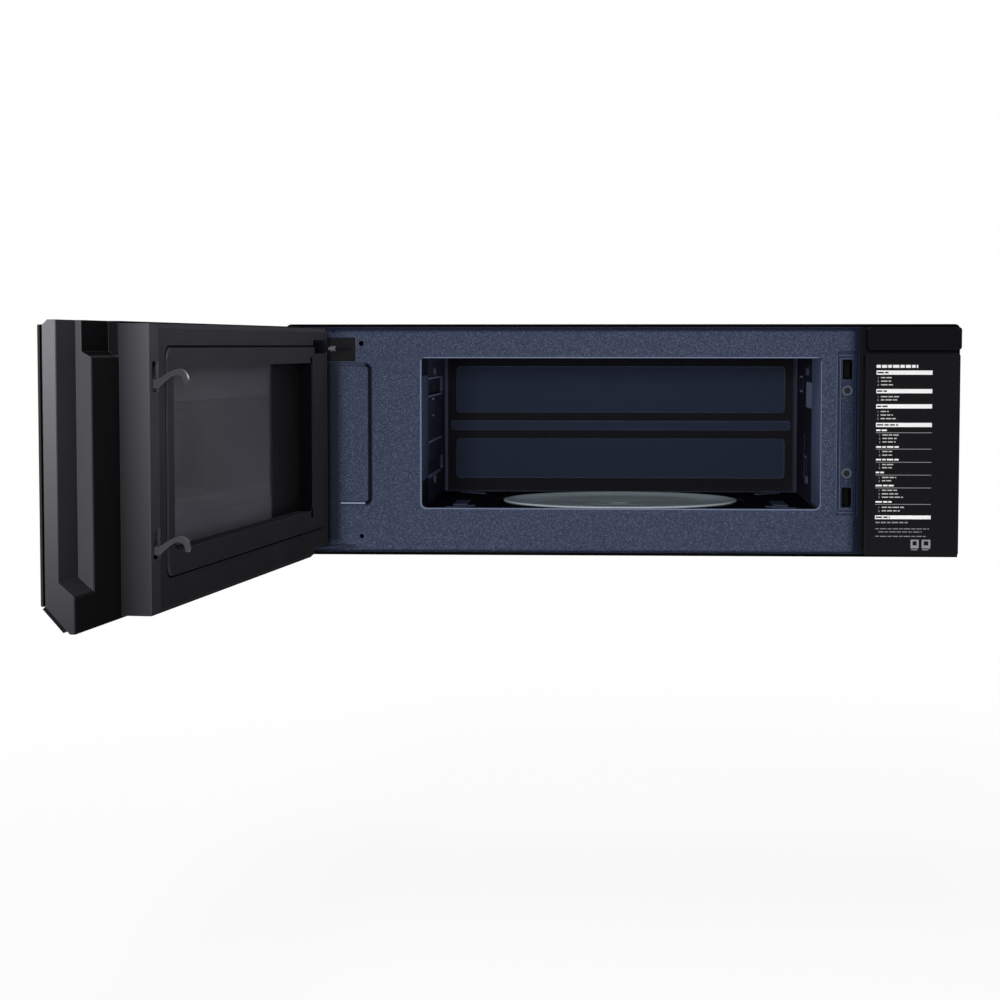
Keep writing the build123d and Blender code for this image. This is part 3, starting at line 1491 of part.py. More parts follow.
pocket_x = (door_edge - pocket_width, door_edge)
pocket_back = frame_back + pocket_depth
notch_front = frame_back + notch_depth
room_x = (hinge_x + 16, pocket_x[0] - frame_wall)
with BuildPart() as frame_room:
    frame_view(frame_back + frame_wall, frame_front + 1, frame_wall, room_x[0], span(room_x))
    door_box(
        (cover_x[1] - frame_wall, door_edge),
        (frame_back, notch_front + frame_wall),
        (notch_bottom - frame_wall - 3, body_height),
        Mode.SUBTRACT,
    )
with BuildPart() as door_frame:
    frame_view(frame_back, frame_front, 0, door_span[0], span(door_span))
    with Locations((0, 0, 0)):
        add(frame_room.part, mode=Mode.SUBTRACT)
    upright(door_face(frame_back - 1), window_x, window_z, 6, frame_wall + 2, Mode.SUBTRACT)
    with BuildSketch(door_side(pocket_x[0])) as pocket:
        Polygon(
            (frame_back - 1, pocket_bottom - pocket_slope - 1),
            (pocket_back, pocket_bottom),
            (pocket_back, body_height),
            (frame_back - 1, body_height),
            align=None,
        )
    extrude(pocket.sketch, amount=-pocket_width - 1, mode=Mode.SUBTRACT)
    with BuildSketch(door_side(cover_x[1] + seat)) as shelf:
        Polygon(
            (frame_back - 1, notch_bottom - 2),
            (notch_front, notch_bottom + 4),
            (notch_front, body_height),
            (frame_back - 1, body_height),
            align=None,
        )
    extrude(shelf.sketch, amount=-(door_edge - cover_x[1] + 1), mode=Mode.SUBTRACT)
    for level in (upper_notch, lower_notch):
        door_box(
            (-door_edge - 1, hinge_x + hinge_eye + 3),
            (frame_back - 1, hinge_reach + hinge_eye + 3),
            level,
            Mode.SUBTRACT,
        )
    ear_room = ear_drop + cover_wall + 6
    for level in ((upper_notch[0] - ear_room, upper_notch[0]), (lower_notch[1], lower_notch[1] + ear_room)):
        door_box((cover_x[0], hinge_x + 25), (frame_back - 1, ear_end + seat + 1), level, Mode.SUBTRACT)
keep(door_frame, "door_frame")

# ---- Front glass with its gasket, the control strip on the lower bevel and the board behind it
glass_z = (door_bottom + facet_rise, door_top - facet_top + 0.5)
with BuildPart() as door_glass:
    upright(door_face(frame_front + gasket_sheet), door_span, glass_z, 2, glass_sheet)
keep(door_glass, "door_glass")

gasket_x = (door_span[0] + gasket_inset, door_span[1] - gasket_inset)
gasket_z = (slope_height(frame_front, strip_sheet + seat) + gasket_inset, glass_z[1] - gasket_inset)
with BuildPart() as glass_gasket:
    upright(door_face(frame_front + seat), gasket_x, gasket_z, 3, gasket_sheet - 2 * seat)
    upright(
        door_face(frame_front),
        (gasket_x[0] + gasket_width, gasket_x[1] - gasket_width),
        (gasket_z[0] + gasket_width, gasket_z[1] - gasket_width),
        2,
        gasket_sheet,
        Mode.SUBTRACT,
    )
keep(glass_gasket, "glass_gasket")

with BuildPart() as control_strip:
    strip_start = slope_point[0] - 1.5
    strip_end = slope_reach(door_bottom, 0) + 1.0
    with BuildSketch(door_side(door_span[0])) as strip:
        Polygon(
            (strip_start, slope_height(strip_start, 0)),
            (strip_end, slope_height(strip_end, 0)),
            (strip_end - strip_sheet * slope_out[0], slope_height(strip_end, 0) - strip_sheet * slope_out[1]),
            (strip_start - strip_sheet * slope_out[0], slope_height(strip_start, 0) - strip_sheet * slope_out[1]),
            align=None,
        )
    extrude(strip.sketch, amount=-span(door_span))
keep(control_strip, "control_strip")

touch_x = (20.0, 200.0)
with BuildPart() as touch_board:
    board_reach = frame_back + frame_wall + 8
    door_box(touch_x, (board_reach, board_reach + board_sheet), (34.0, 70.0))
    for x in (touch_x[0] + 8, touch_x[1] - 8):
        for height in (40.0, 64.0):
            drum(door_face(board_reach), (x, base + height), 2.5, seat + frame_wall + frame_back - board_reach)
    door_box((touch_x[0] + 40, touch_x[1] - 50), (board_reach + board_sheet, board_reach + board_sheet + 5), (42.0, 60.0))
keep(touch_board, "touch_board")
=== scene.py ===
import math
import bmesh
import bpy
from mathutils import Matrix, Vector


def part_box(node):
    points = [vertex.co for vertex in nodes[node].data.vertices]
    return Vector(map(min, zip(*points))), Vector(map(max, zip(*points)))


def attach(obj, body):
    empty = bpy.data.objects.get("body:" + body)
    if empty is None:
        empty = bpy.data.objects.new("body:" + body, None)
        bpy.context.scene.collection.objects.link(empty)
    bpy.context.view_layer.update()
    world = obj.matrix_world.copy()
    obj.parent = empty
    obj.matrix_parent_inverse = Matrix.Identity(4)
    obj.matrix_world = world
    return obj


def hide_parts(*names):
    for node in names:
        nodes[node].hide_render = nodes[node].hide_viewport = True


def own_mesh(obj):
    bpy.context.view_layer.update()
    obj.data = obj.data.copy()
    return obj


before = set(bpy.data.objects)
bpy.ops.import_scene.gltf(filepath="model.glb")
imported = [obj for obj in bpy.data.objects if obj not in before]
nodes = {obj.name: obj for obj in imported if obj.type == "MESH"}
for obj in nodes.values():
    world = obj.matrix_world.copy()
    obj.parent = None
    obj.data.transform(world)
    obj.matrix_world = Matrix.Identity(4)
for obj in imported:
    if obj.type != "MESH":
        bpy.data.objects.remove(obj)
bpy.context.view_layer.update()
mm = 0.001
faceY = -0.440  # the enamelled face
baseZ = -0.131  # underside of the body
print("frame loaded,", len(nodes), "nodes")


# small helpers for materials

def startFinish(name):
    finish = bpy.data.materials.new(name)
    finish.use_nodes = True
    tree = finish.node_tree
    return finish, tree, tree.nodes["Principled BSDF"]


def setSockets(tree, made, sockets):
    for key, value in sockets.items():
        if isinstance(value, bpy.types.NodeSocket):
            tree.links.new(value, made.inputs[key])
        else:
            made.inputs[key].default_value = value


def put(tree, kind, sockets=None, **settings):
    made = tree.nodes.new(kind)
    for key, value in settings.items():
        setattr(made, key, value)
    setSockets(tree, made, sockets or {})
    return made


def mathNode(tree, operation, first, second=0.0):
    return put(tree, "ShaderNodeMath", {0: first, 1: second}, operation=operation).outputs[0]


def objectPlace(tree, scale=(1, 1, 1)):
    place = put(tree, "ShaderNodeTexCoord")
    return put(tree, "ShaderNodeMapping", {"Vector": place.outputs["Object"], "Scale": scale}).outputs["Vector"]


def grainOf(tree, vector, scale, detail=3.0, rough=0.55):
    noise = put(tree, "ShaderNodeTexNoise", {
        "Vector": vector, "Scale": scale, "Detail": detail, "Roughness": rough})
    return noise.outputs["Fac"]


def spread(tree, value, low, high, fromLow=0.3, fromHigh=0.7):
    mapped = put(tree, "ShaderNodeMapRange", {
        "Value": value, "From Min": fromLow, "From Max": fromHigh, "To Min": low, "To Max": high})
    return mapped.outputs["Result"]


def blendColour(tree, factor, first, second, mode="MIX"):
    mixed = put(tree, "ShaderNodeMix", data_type="RGBA", blend_type=mode)
    setSockets(tree, mixed, {0: factor, 6: first, 7: second})
    return mixed.outputs[2]


def shade(colour, by=1.0):
    return tuple(min(1.0, part * by) for part in colour) + (1.0,)


def roundEdges(tree, radius):
    # the normal of a small bevel, and 1 where that bevel is
    bevel = put(tree, "ShaderNodeBevel", {"Radius": radius}, samples=4)
    flat = put(tree, "ShaderNodeNewGeometry")
    turned = put(tree, "ShaderNodeVectorMath", {0: bevel.outputs["Normal"], 1: flat.outputs["Normal"]},
                 operation="DOT_PRODUCT")
    edge = put(tree, "ShaderNodeMapRange", {
        "Value": turned.outputs["Value"], "From Min": 0.97, "From Max": 0.75, "To Min": 0.0, "To Max": 1.0})
    return bevel.outputs["Normal"], edge.outputs["Result"]


# places: the body's axes, and the open door's own as in the CAD

bodyAcross = ((1, 0, 0), 0.0)
bodyDepth = ((0, 1, 0), faceY)
upward = ((0, 0, 1), baseZ)
door = dict(angle=96.4, hingeX=-0.3556, hingeReach=0.0284)
doorTurn = math.radians(door["angle"])
doorAlong = Vector((math.cos(doorTurn), -math.sin(doorTurn), 0))
doorOut = Vector((-math.sin(doorTurn), -math.cos(doorTurn), 0))
doorPivot = Vector((door["hingeX"], faceY - door["hingeReach"], 0))
doorOrigin = doorPivot - doorAlong * door["hingeX"] - doorOut * door["hingeReach"]
doorAcross = (tuple(doorAlong), doorOrigin.dot(doorAlong))
doorReach = (tuple(doorOut), doorOrigin.dot(doorOut))
bodyFront, ovenSide, doorFront = (bodyAcross, upward), (bodyDepth, upward), (doorAcross, upward)


def doorPoint(x, reach, height):
    return doorOrigin + doorAlong * x + doorOut * reach + Vector((0, 0, baseZ + height))


def along(tree, axis):
    place = put(tree, "ShaderNodeTexCoord")
    dot = put(tree, "ShaderNodeVectorMath", {0: place.outputs["Object"], 1: axis[0]}, operation="DOT_PRODUCT")
    return mathNode(tree, "SUBTRACT", dot.outputs["Value"], axis[1])


def offCentre(tree, axis, centre):
    return mathNode(tree, "ABSOLUTE", mathNode(tree, "SUBTRACT", along(tree, axis), centre))


def within(tree, limits, soft):
    # 1 inside the limits and 0 outside them, each limit an axis with its lowest and highest value
    mask = 1.0
    for axis, low, high, *own in limits:
        half = (high - low) / 2
        blur = own[0] if own else soft
        inside = spread(tree, offCentre(tree, axis, (low + high) / 2), 1.0, 0.0, half - blur, half + blur)
        mask = mathNode(tree, "MULTIPLY", inside, mask)
    return mask


def onLine(tree, axes, centre, half, corner, width):
    # 1 on a line around a rounded rectangle and 0 off it
    sides = {}
    for side in (0, 1):
        beyond = mathNode(tree, "SUBTRACT", offCentre(tree, axes[side], centre[side]), half[side] - corner)
        sides[side] = mathNode(tree, "MAXIMUM", beyond, 0.0)
    both = put(tree, "ShaderNodeCombineXYZ", sides)
    away = put(tree, "ShaderNodeVectorMath", {0: both.outputs[0]}, operation="LENGTH").outputs["Value"]
    off = mathNode(tree, "ABSOLUTE", mathNode(tree, "SUBTRACT", away, corner))
    return spread(tree, off, 1.0, 0.0, width * 0.3, width * 0.7)


def patch(colour, *limits, **more):
    # a painted box, with soft for its blur, share for its strength and outside to paint all but the box
    return dict(colour=colour, limits=limits, **more)


def outline(colour, axes, centre, half, corner, width, *limits, **more):
    # a painted line around a rounded rectangle, only where the limits leave it
    return dict(colour=colour, limits=limits, line=(axes, centre, half, corner, width), **more)


def paintPatches(tree, colour, patches, paint=None):
    for each in patches:
        mask = within(tree, each["limits"], each.get("soft", 0.0003))
        if each.get("outside"):
            mask = mathNode(tree, "SUBTRACT", 1.0, mask)
        if "line" in each:
            mask = mathNode(tree, "MULTIPLY", mask, onLine(tree, *each["line"]))
        mask = mathNode(tree, "MULTIPLY", mask, each.get("share", 1.0))
        colour = blendColour(tree, mask, colour, paint or shade(each["colour"]))
    return colour


# finishes

def plasticFinish(name, look):
    finish, tree, shader = startFinish(name)
    place = objectPlace(tree)
    cloud = grainOf(tree, place, look["cloudScale"], 4.0)
    grain = grainOf(tree, place, look["grainScale"], 2.0)
    normal, edge = roundEdges(tree, look["edgeRadius"])
    body = blendColour(tree, spread(tree, cloud, 0, 1), shade(look["colour"], 0.9), shade(look["colour"], 1.1))
    body = paintPatches(tree, body, look["patches"])
    # painted shade: darker towards the bottom, where less light falls
    if "shadeTowardsBottom" in look:
        low, high, share = look["shadeTowardsBottom"]
        bottomShade = mathNode(tree, "MULTIPLY", spread(tree, along(tree, upward), 1.0, 0.0, low, high), share)
        body = blendColour(tree, bottomShade, body, (0, 0, 0, 1))
    # the bevelled edges lighter: rubbed wear and a painted highlight along them, broken up by the grain
    wornSheen = spread(tree, grain, 0.4, 1.0)
    wornSheen = mathNode(tree, "MULTIPLY", mathNode(tree, "MULTIPLY", edge, wornSheen), look["wearSheen"])
    colour = blendColour(tree, wornSheen, body, shade(look["wearSheenColour"]))
    rough = spread(tree, cloud, look["roughness"] - look["roughSpread"], look["roughness"] + look["roughSpread"])
    bump = put(tree, "ShaderNodeBump", {
        "Height": grain, "Strength": look["grainStrength"], "Distance": look["grainHeight"], "Normal": normal})
    setSockets(tree, shader, {
        "Base Color": colour, "Roughness": rough, "Normal": bump.outputs["Normal"],
        "Specular IOR Level": look["specular"], "Metallic": look["metallic"]})
    return finish


def enamelFinish(name, look):
    finish, tree, shader = startFinish(name)
    place = objectPlace(tree)
    mottle = grainOf(tree, place, look["scale"], 2.0, 0.75)
    cells = put(tree, "ShaderNodeTexVoronoi", {"Vector": place, "Scale": look["scale"], "Randomness": 1.0})
    near = spread(tree, cells.outputs["Distance"], 1.0, 0.0, *look["fleckReach"])
    parts = put(tree, "ShaderNodeSeparateColor", {"Color": cells.outputs["Color"]})
    fleck = mathNode(tree, "MULTIPLY", near, spread(tree, parts.outputs["Red"], 0.0, 1.0, *look["fleckShare"]))
    ground = blendColour(tree, spread(tree, mottle, 0, 1, *look["mottleReach"]), shade(look["deep"]),
                         shade(look["mid"]))
    speckled = blendColour(tree, fleck, ground, shade(look["fleck"]))
    normal, edge = roundEdges(tree, look["edgeRadius"])
    colour = paintPatches(tree, speckled, look["patches"])
    # painted shade: the speckled colour darkened and made bluer where the shade patches lie
    paintedShade = blendColour(tree, 1.0, speckled, shade(look["shadeTint"]), "MULTIPLY")
    colour = paintPatches(tree, colour, look["paintedShade"], paintedShade)
    # painted highlight along the bevelled edges
    rim = mathNode(tree, "MULTIPLY", edge, look["edgeHighlightShare"])
    colour = blendColour(tree, rim, colour, shade(look["edgeHighlightColour"]))
    # painted highlights and shade laid over everything else
    colour = paintPatches(tree, colour, look["over"])
    bump = put(tree, "ShaderNodeBump", {
        "Height": mottle, "Strength": look["bumpStrength"], "Distance": look["bumpHeight"], "Normal": normal})
    rough = spread(tree, mottle, look["roughness"] - 0.06, look["roughness"] + 0.08)
    setSockets(tree, shader, {
        "Base Color": colour, "Roughness": rough, "Normal": bump.outputs["Normal"],
        "Specular IOR Level": look["specular"]})
    return finish


def metalFinish(name, look):
    finish, tree, shader = startFinish(name)
    lines = grainOf(tree, objectPlace(tree, look["brush"]), look["brushScale"], 4.0, 0.7)
    cells = put(tree, "ShaderNodeTexVoronoi", {"Vector": objectPlace(tree), "Scale": look["spangle"]})
    parts = put(tree, "ShaderNodeSeparateColor", {"Color": cells.outputs["Color"]})
    body = blendColour(tree, spread(tree, lines, 0, 1), shade(look["colour"], 0.88), shade(look["colour"], 1.08))
    flake = spread(tree, parts.outputs["Green"], 0.0, look["spangleShare"], 0.0, 1.0)
    colour = blendColour(tree, flake, body, shade(look["colour"], 0.7))
    rough = spread(tree, lines, look["roughness"] - 0.08, look["roughness"] + 0.1)
    normal = roundEdges(tree, look["edgeRadius"])[0]
    bump = put(tree, "ShaderNodeBump", {"Height": lines, "Strength": 0.15, "Distance": 0.0001, "Normal": normal})
    setSockets(tree, shader, {
        "Base Color": colour, "Roughness": rough, "Normal": bump.outputs["Normal"], "Metallic": 1.0})
    return finish


def glassFinish(name, look):
    finish, tree, shader = startFinish(name)
    cloud = grainOf(tree, objectPlace(tree), look["cloudScale"], 2.0)
    colour = blendColour(tree, spread(tree, cloud, 0, 1), shade(look["colour"], 0.94), shade(look["colour"], 1.04))
    colour = paintPatches(tree, colour, look["patches"])
    # painted highlight along the edges of the glass
    if "edgeHighlightColour" in look:
        edge = roundEdges(tree, look["edgeRadius"])[1]
        colour = blendColour(tree, edge, colour, shade(look["edgeHighlightColour"]))
    setSockets(tree, shader, {
        "Base Color": colour, "Roughness": spread(tree, cloud, look["roughness"], look["roughness"] + 0.05),
        "Transmission Weight": look["clear"], "IOR": look["ior"], "Specular IOR Level": look["specular"]})
    return finish


plastic = dict(wearSheen=0.3, roughness=0.5, roughSpread=0.04, grainScale=2400, grainStrength=0.15, grainHeight=0.00012,
               specular=0.0, edgeRadius=0.0006, cloudScale=9.0, metallic=0.0, patches=())
fineBlack = dict(plastic, wearSheenColour=(0.06, 0.06, 0.07), wearSheen=0.8, roughSpread=0.03, grainScale=2600,
                 grainStrength=0.08, grainHeight=0.0001, edgeRadius=0.0008)
screwCoat = dict(plastic, roughness=0.4, roughSpread=0.05, grainScale=2200, grainStrength=0.1, grainHeight=0.0001,
                 specular=0.05, edgeRadius=0.0003)
hingePaint = dict(plastic, roughness=0.45, roughSpread=0.06, grainScale=1500, grainHeight=0.0002, edgeRadius=0.0005)
printedInk = dict(plastic, wearSheen=0.1, roughness=0.55, roughSpread=0.03, grainScale=3000, grainStrength=0.05,
                  grainHeight=0.00005, specular=0.1, edgeRadius=0.00002)
freeEnd = (doorAcross, 0.2632, 0.30)  # the end wall of the door's cover
frameEnd = (doorAcross, 0.3770, 0.39)  # the end wall of the door's frame
shadedWindowSide = (doorAcross, -0.4, -0.183)  # the dark part of the window, its hinge side, is painted shade
plastics = {
    "caseCoat": dict(
        plastic, colour=(0.012, 0.012, 0.013), wearSheenColour=(0.03, 0.03, 0.034), roughness=0.55, roughSpread=0.05,
        grainScale=1400, grainStrength=0.22, grainHeight=0.0003, specular=0.012,
        patches=[patch((0.001, 0.001, 0.001), (bodyDepth, -0.01, 0.0012))]),
    "coverMoulding": dict(
        plastic, colour=(0.046, 0.046, 0.053), wearSheenColour=(0.16, 0.16, 0.17), wearSheen=0.6, grainScale=2600,
        grainStrength=0.2, edgeRadius=0.0010, shadeTowardsBottom=(0.0, 0.25, 0.6), patches=[
            # painted shade on the side wall of the window recess and in the grooves around the raised panel and the
            # window
            patch((0.003, 0.003, 0.004), (doorAcross, -0.2880, -0.2790), (doorReach, 0.0, 0.0300),
                  (upward, 0.050, 0.225)),
            outline((0.006, 0.006, 0.007), doorFront, (-0.055, 0.1360), (0.286, 0.101), 0.010, 0.0022),
            outline((0.006, 0.006, 0.007), doorFront, (-0.008, 0.1420), (0.214, 0.064), 0.004, 0.0030),
            patch((0.070, 0.070, 0.078), freeEnd),
            patch((0.018, 0.018, 0.021), freeEnd, (doorReach, 0.0210, 0.09, 0.016))]),
    "frameMoulding": dict(
        plastic, colour=(0.036, 0.036, 0.041), wearSheenColour=(0.20, 0.20, 0.21), wearSheen=0.5, edgeRadius=0.0010,
        shadeTowardsBottom=(0.0, 0.25, 0.3), patches=[
            # the end wall is a lighter grey, with painted shade darkening its lower part
            patch((0.14, 0.14, 0.15), frameEnd),
            patch((0.04, 0.04, 0.045), frameEnd, (upward, -1.0, 0.12, 0.12)),
            patch((0.062, 0.062, 0.068), (doorAcross, 0.3300, 0.3325), (doorReach, 0.0340, 0.0490)),
            patch((0.010, 0.010, 0.011), (doorReach, 0.0, 0.0350)),
            patch((0.007, 0.007, 0.008), (upward, 0.2295, 0.3), (doorAcross, 0.2, 0.3312))]),
    "panelPlastic": dict(fineBlack, colour=(0.0076, 0.0076, 0.0092), specular=0.006),
    "blockPlastic": dict(fineBlack, colour=(0.0050, 0.0048, 0.0062), specular=0.004),
    "blackPlastic": dict(plastic, colour=(0.006, 0.006, 0.007), wearSheenColour=(0.02, 0.02, 0.022), specular=0.01),
    "hookPlastic": dict(
        plastic, colour=(0.036, 0.036, 0.041), wearSheenColour=(0.20, 0.20, 0.21), wearSheen=0.7, roughness=0.4,
        roughSpread=0.05, grainScale=2200, grainStrength=0.2, specular=0.05),
    "screwBlack": dict(screwCoat, colour=(0.010, 0.010, 0.012), wearSheenColour=(0.14, 0.15, 0.17), wearSheen=0.5),
    "screwRing": dict(screwCoat, colour=(0.055, 0.065, 0.09), wearSheenColour=(0.32, 0.35, 0.42), wearSheen=0.9),
    "darkPart": dict(
        plastic, colour=(0.028, 0.028, 0.031), wearSheenColour=(0.09, 0.09, 0.095), wearSheen=0.4, roughness=0.4,
        roughSpread=0.06, grainScale=2200, grainStrength=0.2, specular=0.2),
    "micaSheet": dict(
        plastic, colour=(0.020, 0.022, 0.036), wearSheenColour=(0.12, 0.14, 0.20), wearSheen=0.5, roughness=0.35,
        roughSpread=0.1, grainScale=420, grainStrength=0.25, grainHeight=0.0002, specular=0.02, edgeRadius=0.0002,
        cloudScale=60),
    "windings": dict(
        plastic, colour=(0.36, 0.14, 0.045), wearSheenColour=(0.6, 0.3, 0.12), roughness=0.38, roughSpread=0.08,
        grainScale=900, grainStrength=0.4, grainHeight=0.0003, specular=0.5, edgeRadius=0.001, metallic=0.6),
    "boardGreen": dict(
        plastic, colour=(0.02, 0.11, 0.05), wearSheenColour=(0.3, 0.25, 0.1), wearSheen=0.2, roughness=0.4, roughSpread=0.06,
        grainScale=700, grainStrength=0.2, grainHeight=0.0002, specular=0.5, edgeRadius=0.0003),
    "charcoalPad": dict(
        plastic, colour=(0.012, 0.012, 0.012), wearSheenColour=(0.03, 0.03, 0.03), wearSheen=0.2, roughness=0.85,
        roughSpread=0.08, grainScale=520, grainStrength=0.9, grainHeight=0.0012, specular=0.2),
    "foamRubber": dict(
        plastic, colour=(0.004, 0.004, 0.004), wearSheenColour=(0.01, 0.01, 0.01), wearSheen=0.2, roughness=0.8,
        roughSpread=0.06, grainScale=1800, grainStrength=0.5, grainHeight=0.0003, specular=0.1, edgeRadius=0.0004),
    "screenCoat": dict(
        plastic, colour=(0.085, 0.085, 0.094), wearSheenColour=(0.20, 0.20, 0.21), roughSpread=0.05, grainScale=2000,
        grainStrength=0.1, grainHeight=0.0001, specular=0.02, edgeRadius=0.0002,
        # painted shade over the screen's hinge side
        patches=[patch((0.010, 0.010, 0.012), shadedWindowSide, soft=0.004)]),
    "hingeCoat": dict(
        hingePaint, colour=(0.006, 0.006, 0.007), wearSheenColour=(0.06, 0.06, 0.065), wearSheen=0.6, specular=0.02,
        patches=[patch((0.11, 0.11, 0.12), (bodyAcross, -0.3292, -0.3222), (bodyDepth, -0.04, -0.001),
                       (upward, 0.2315, 0.2375))]),
    "lowerHingeCoat": dict(
        hingePaint, colour=(0.02, 0.026, 0.045), wearSheenColour=(0.12, 0.14, 0.2), wearSheen=0.7, specular=0.04),
    "chartInk": dict(printedInk, colour=(0.70, 0.70, 0.70), wearSheenColour=(0.7, 0.7, 0.7)),
    "rowInk": dict(printedInk, colour=(0.42, 0.42, 0.42), wearSheenColour=(0.4, 0.4, 0.4)),
    "paleInk": dict(printedInk, colour=(0.20, 0.20, 0.21), wearSheenColour=(0.2, 0.2, 0.2)),
}
speckle = dict(scale=760, fleckReach=(0.1, 0.5), fleckShare=(0.3, 0.95), mottleReach=(0.36, 0.64),
               edgeRadius=0.0009, roughness=0.5, specular=0.03, bumpStrength=0.1, bumpHeight=0.0002, paintedShade=(),
               over=())
recessFloor = (bodyAcross, -0.3180, -0.2900)  # the part of the left recess that the door leaves in view
leftWall, rightWall = (bodyAcross, -0.24, -0.2236), (bodyAcross, 0.2236, 0.24)
wallHighlights = [  # painted highlights along pressed outlines: wall, brightness, centre and half size in depth and height
    (leftWall, 2.0, (0.2195, 0.1880), (0.107, 0.0105)), (leftWall, 2.0, (0.1810, 0.1635), (0.019, 0.0100)),
    (leftWall, 2.0, (0.2150, 0.1020), (0.095, 0.0210)), (rightWall, 1.6, (0.2960, 0.1900), (0.024, 0.0090)),
    (rightWall, 1.6, (0.2650, 0.0900), (0.055, 0.0125))]
enamels = {
    "faceEnamel": dict(
        speckle, deep=(0.016, 0.023, 0.047), mid=(0.041, 0.050, 0.084), fleck=(0.13, 0.15, 0.215), edgeHighlightShare=0.6,
        edgeHighlightColour=(0.12, 0.15, 0.22), shadeTint=(0.07, 0.10, 0.20), patches=[
            # painted shadow of the open door on the face beside it
            patch((0.008, 0.009, 0.013), (bodyAcross, -0.40, -0.3190, 0.003), (upward, 0.016, 0.242, 0.003),
                  share=0.85),
            # painted highlights along the pressed edges of the latch strip and around the opening
            outline((0.12, 0.15, 0.23), bodyFront, (0.2553, 0.1385), (0.0119, 0.0885), 0.002, 0.0009),
            outline((0.12, 0.15, 0.23), bodyFront, (0.2555, 0.1384), (0.0084, 0.0847), 0.001, 0.0007),
            outline((0.13, 0.16, 0.24), bodyFront, (-0.0005, 0.1386), (0.2258, 0.0856), 0.006, 0.0013),
            outline((0.004, 0.004, 0.005), bodyFront, (-0.3255, 0.2557), (0.0017, 0.0017), 0.0017, 0.0034)],
        # painted shade at the borders, over and beside the latch strip, and beside the door
        paintedShade=[
            patch(None, (bodyAcross, -0.3715, 0.2625), (upward, 0.0058, 0.2540), soft=0.0015, share=0.95,
                  outside=True),
            patch(None, (bodyAcross, 0.2432, 0.2664), (upward, 0.047, 0.2308), soft=0.0005, share=0.45),
            patch(None, (bodyAcross, 0.2585, 0.30), soft=0.004, share=0.62),
            patch(None, (bodyAcross, -0.40, -0.3150), soft=0.008, share=0.45)],
        over=[
            # painted highlight along the bottom of the left recess, painted shade around it and in its groove on
            # the right
            outline((0.19, 0.22, 0.30), bodyFront, (-0.3400, 0.1373), (0.0560, 0.0785), 0.006, 0.0018, recessFloor,
                    (upward, 0.0, 0.1)),
            outline((0.012, 0.018, 0.035), bodyFront, (-0.3400, 0.1373), (0.0560, 0.0805), 0.006, 0.0018,
                    recessFloor, share=0.8),
            outline((0.001, 0.002, 0.006), bodyFront, (-0.3400, 0.1373), (0.0558, 0.0790), 0.006, 0.0046,
                    (bodyAcross, -0.2900, -0.27))]),
    "cavityEnamel": dict(
        speckle, specular=0.0, deep=(0.012, 0.018, 0.040), mid=(0.030, 0.040, 0.075), fleck=(0.12, 0.14, 0.20),
        edgeHighlightShare=0.75, edgeHighlightColour=(0.22, 0.28, 0.42), shadeTint=(0.5, 0.5, 0.6), patches=[
            # The cavity is painted to its light: lit and shaded parts of the walls near the opening, painted shade
            # deeper in, on the frames around the back panels and on the floor, and painted highlights along the
            # pressed outlines and at the back corners.
            patch((0.03, 0.035, 0.06), (bodyAcross, -0.24, -0.2240), (bodyDepth, 0.0, 0.107)),
            patch((0.12, 0.15, 0.26), (bodyAcross, -0.24, -0.2240), (bodyDepth, 0.0, 0.107),
                  (upward, 0.082, 0.203)),
            patch((0.135, 0.17, 0.285), (bodyAcross, 0.2240, 0.24), (bodyDepth, 0.0, 0.140)),
            patch((0.05, 0.06, 0.10), (upward, 0.2225, 0.24), (bodyDepth, 0.0, 0.1)),
            patch((0.0140, 0.0140, 0.0180), (bodyAcross, -0.2235, 0.2235), (bodyDepth, 0.105, 0.5), soft=0.002),
            patch((0.080, 0.084, 0.140), leftWall, (bodyDepth, 0.107, 0.5)),
            patch((0.036, 0.036, 0.062), rightWall, (bodyDepth, 0.140, 0.5)),
            patch((0.16, 0.20, 0.30), (bodyAcross, 0.2, 0.24), (bodyDepth, 0.132, 0.219, 0.002),
                  (upward, 0.163, 0.194, 0.001)),
            *(outline(shade((0.24, 0.30, 0.46), bright)[:3], ovenSide, centre, half, 0.004, 0.0020, wall)
              for wall, bright, centre, half in wallHighlights),
            patch((0.0060, 0.0065, 0.0100), (upward, 0.0, 0.0500)),
            patch((0.0265, 0.0350, 0.0620), (bodyDepth, 0.3785, 0.5), soft=0.0004),
            patch((0.0265, 0.0350, 0.0620), (bodyDepth, 0.3730, 0.3755), (bodyAcross, -0.2205, 0.2205),
                  (upward, 0.12, 0.15)),
            patch((0.03, 0.04, 0.07), (upward, 0.0503, 0.0522), (bodyDepth, 0.02, 0.36), soft=0.0002),
            *(patch((0.18, 0.21, 0.28), (bodyDepth, 0.3600, 0.3740, 0.001), limit)
              for limit in (leftWall, rightWall, (upward, 0.0, 0.0500)))]),
}
metals = {
    "zincSheet": dict(colour=(0.50, 0.52, 0.54), brush=(1, 1, 1), brushScale=60, spangle=130, spangleShare=0.5,
                      roughness=0.42, edgeRadius=0.0004),
    "plainSteel": dict(colour=(0.58, 0.58, 0.60), brush=(1, 40, 1), brushScale=50, spangle=400, spangleShare=0.1,
                       roughness=0.32, edgeRadius=0.0004),
    "bareAluminium": dict(colour=(0.66, 0.67, 0.68), brush=(1, 30, 1), brushScale=60, spangle=300, spangleShare=0.1,
                          roughness=0.38, edgeRadius=0.0003),
}
pane = dict(specular=0.5, ior=1.5, patches=())
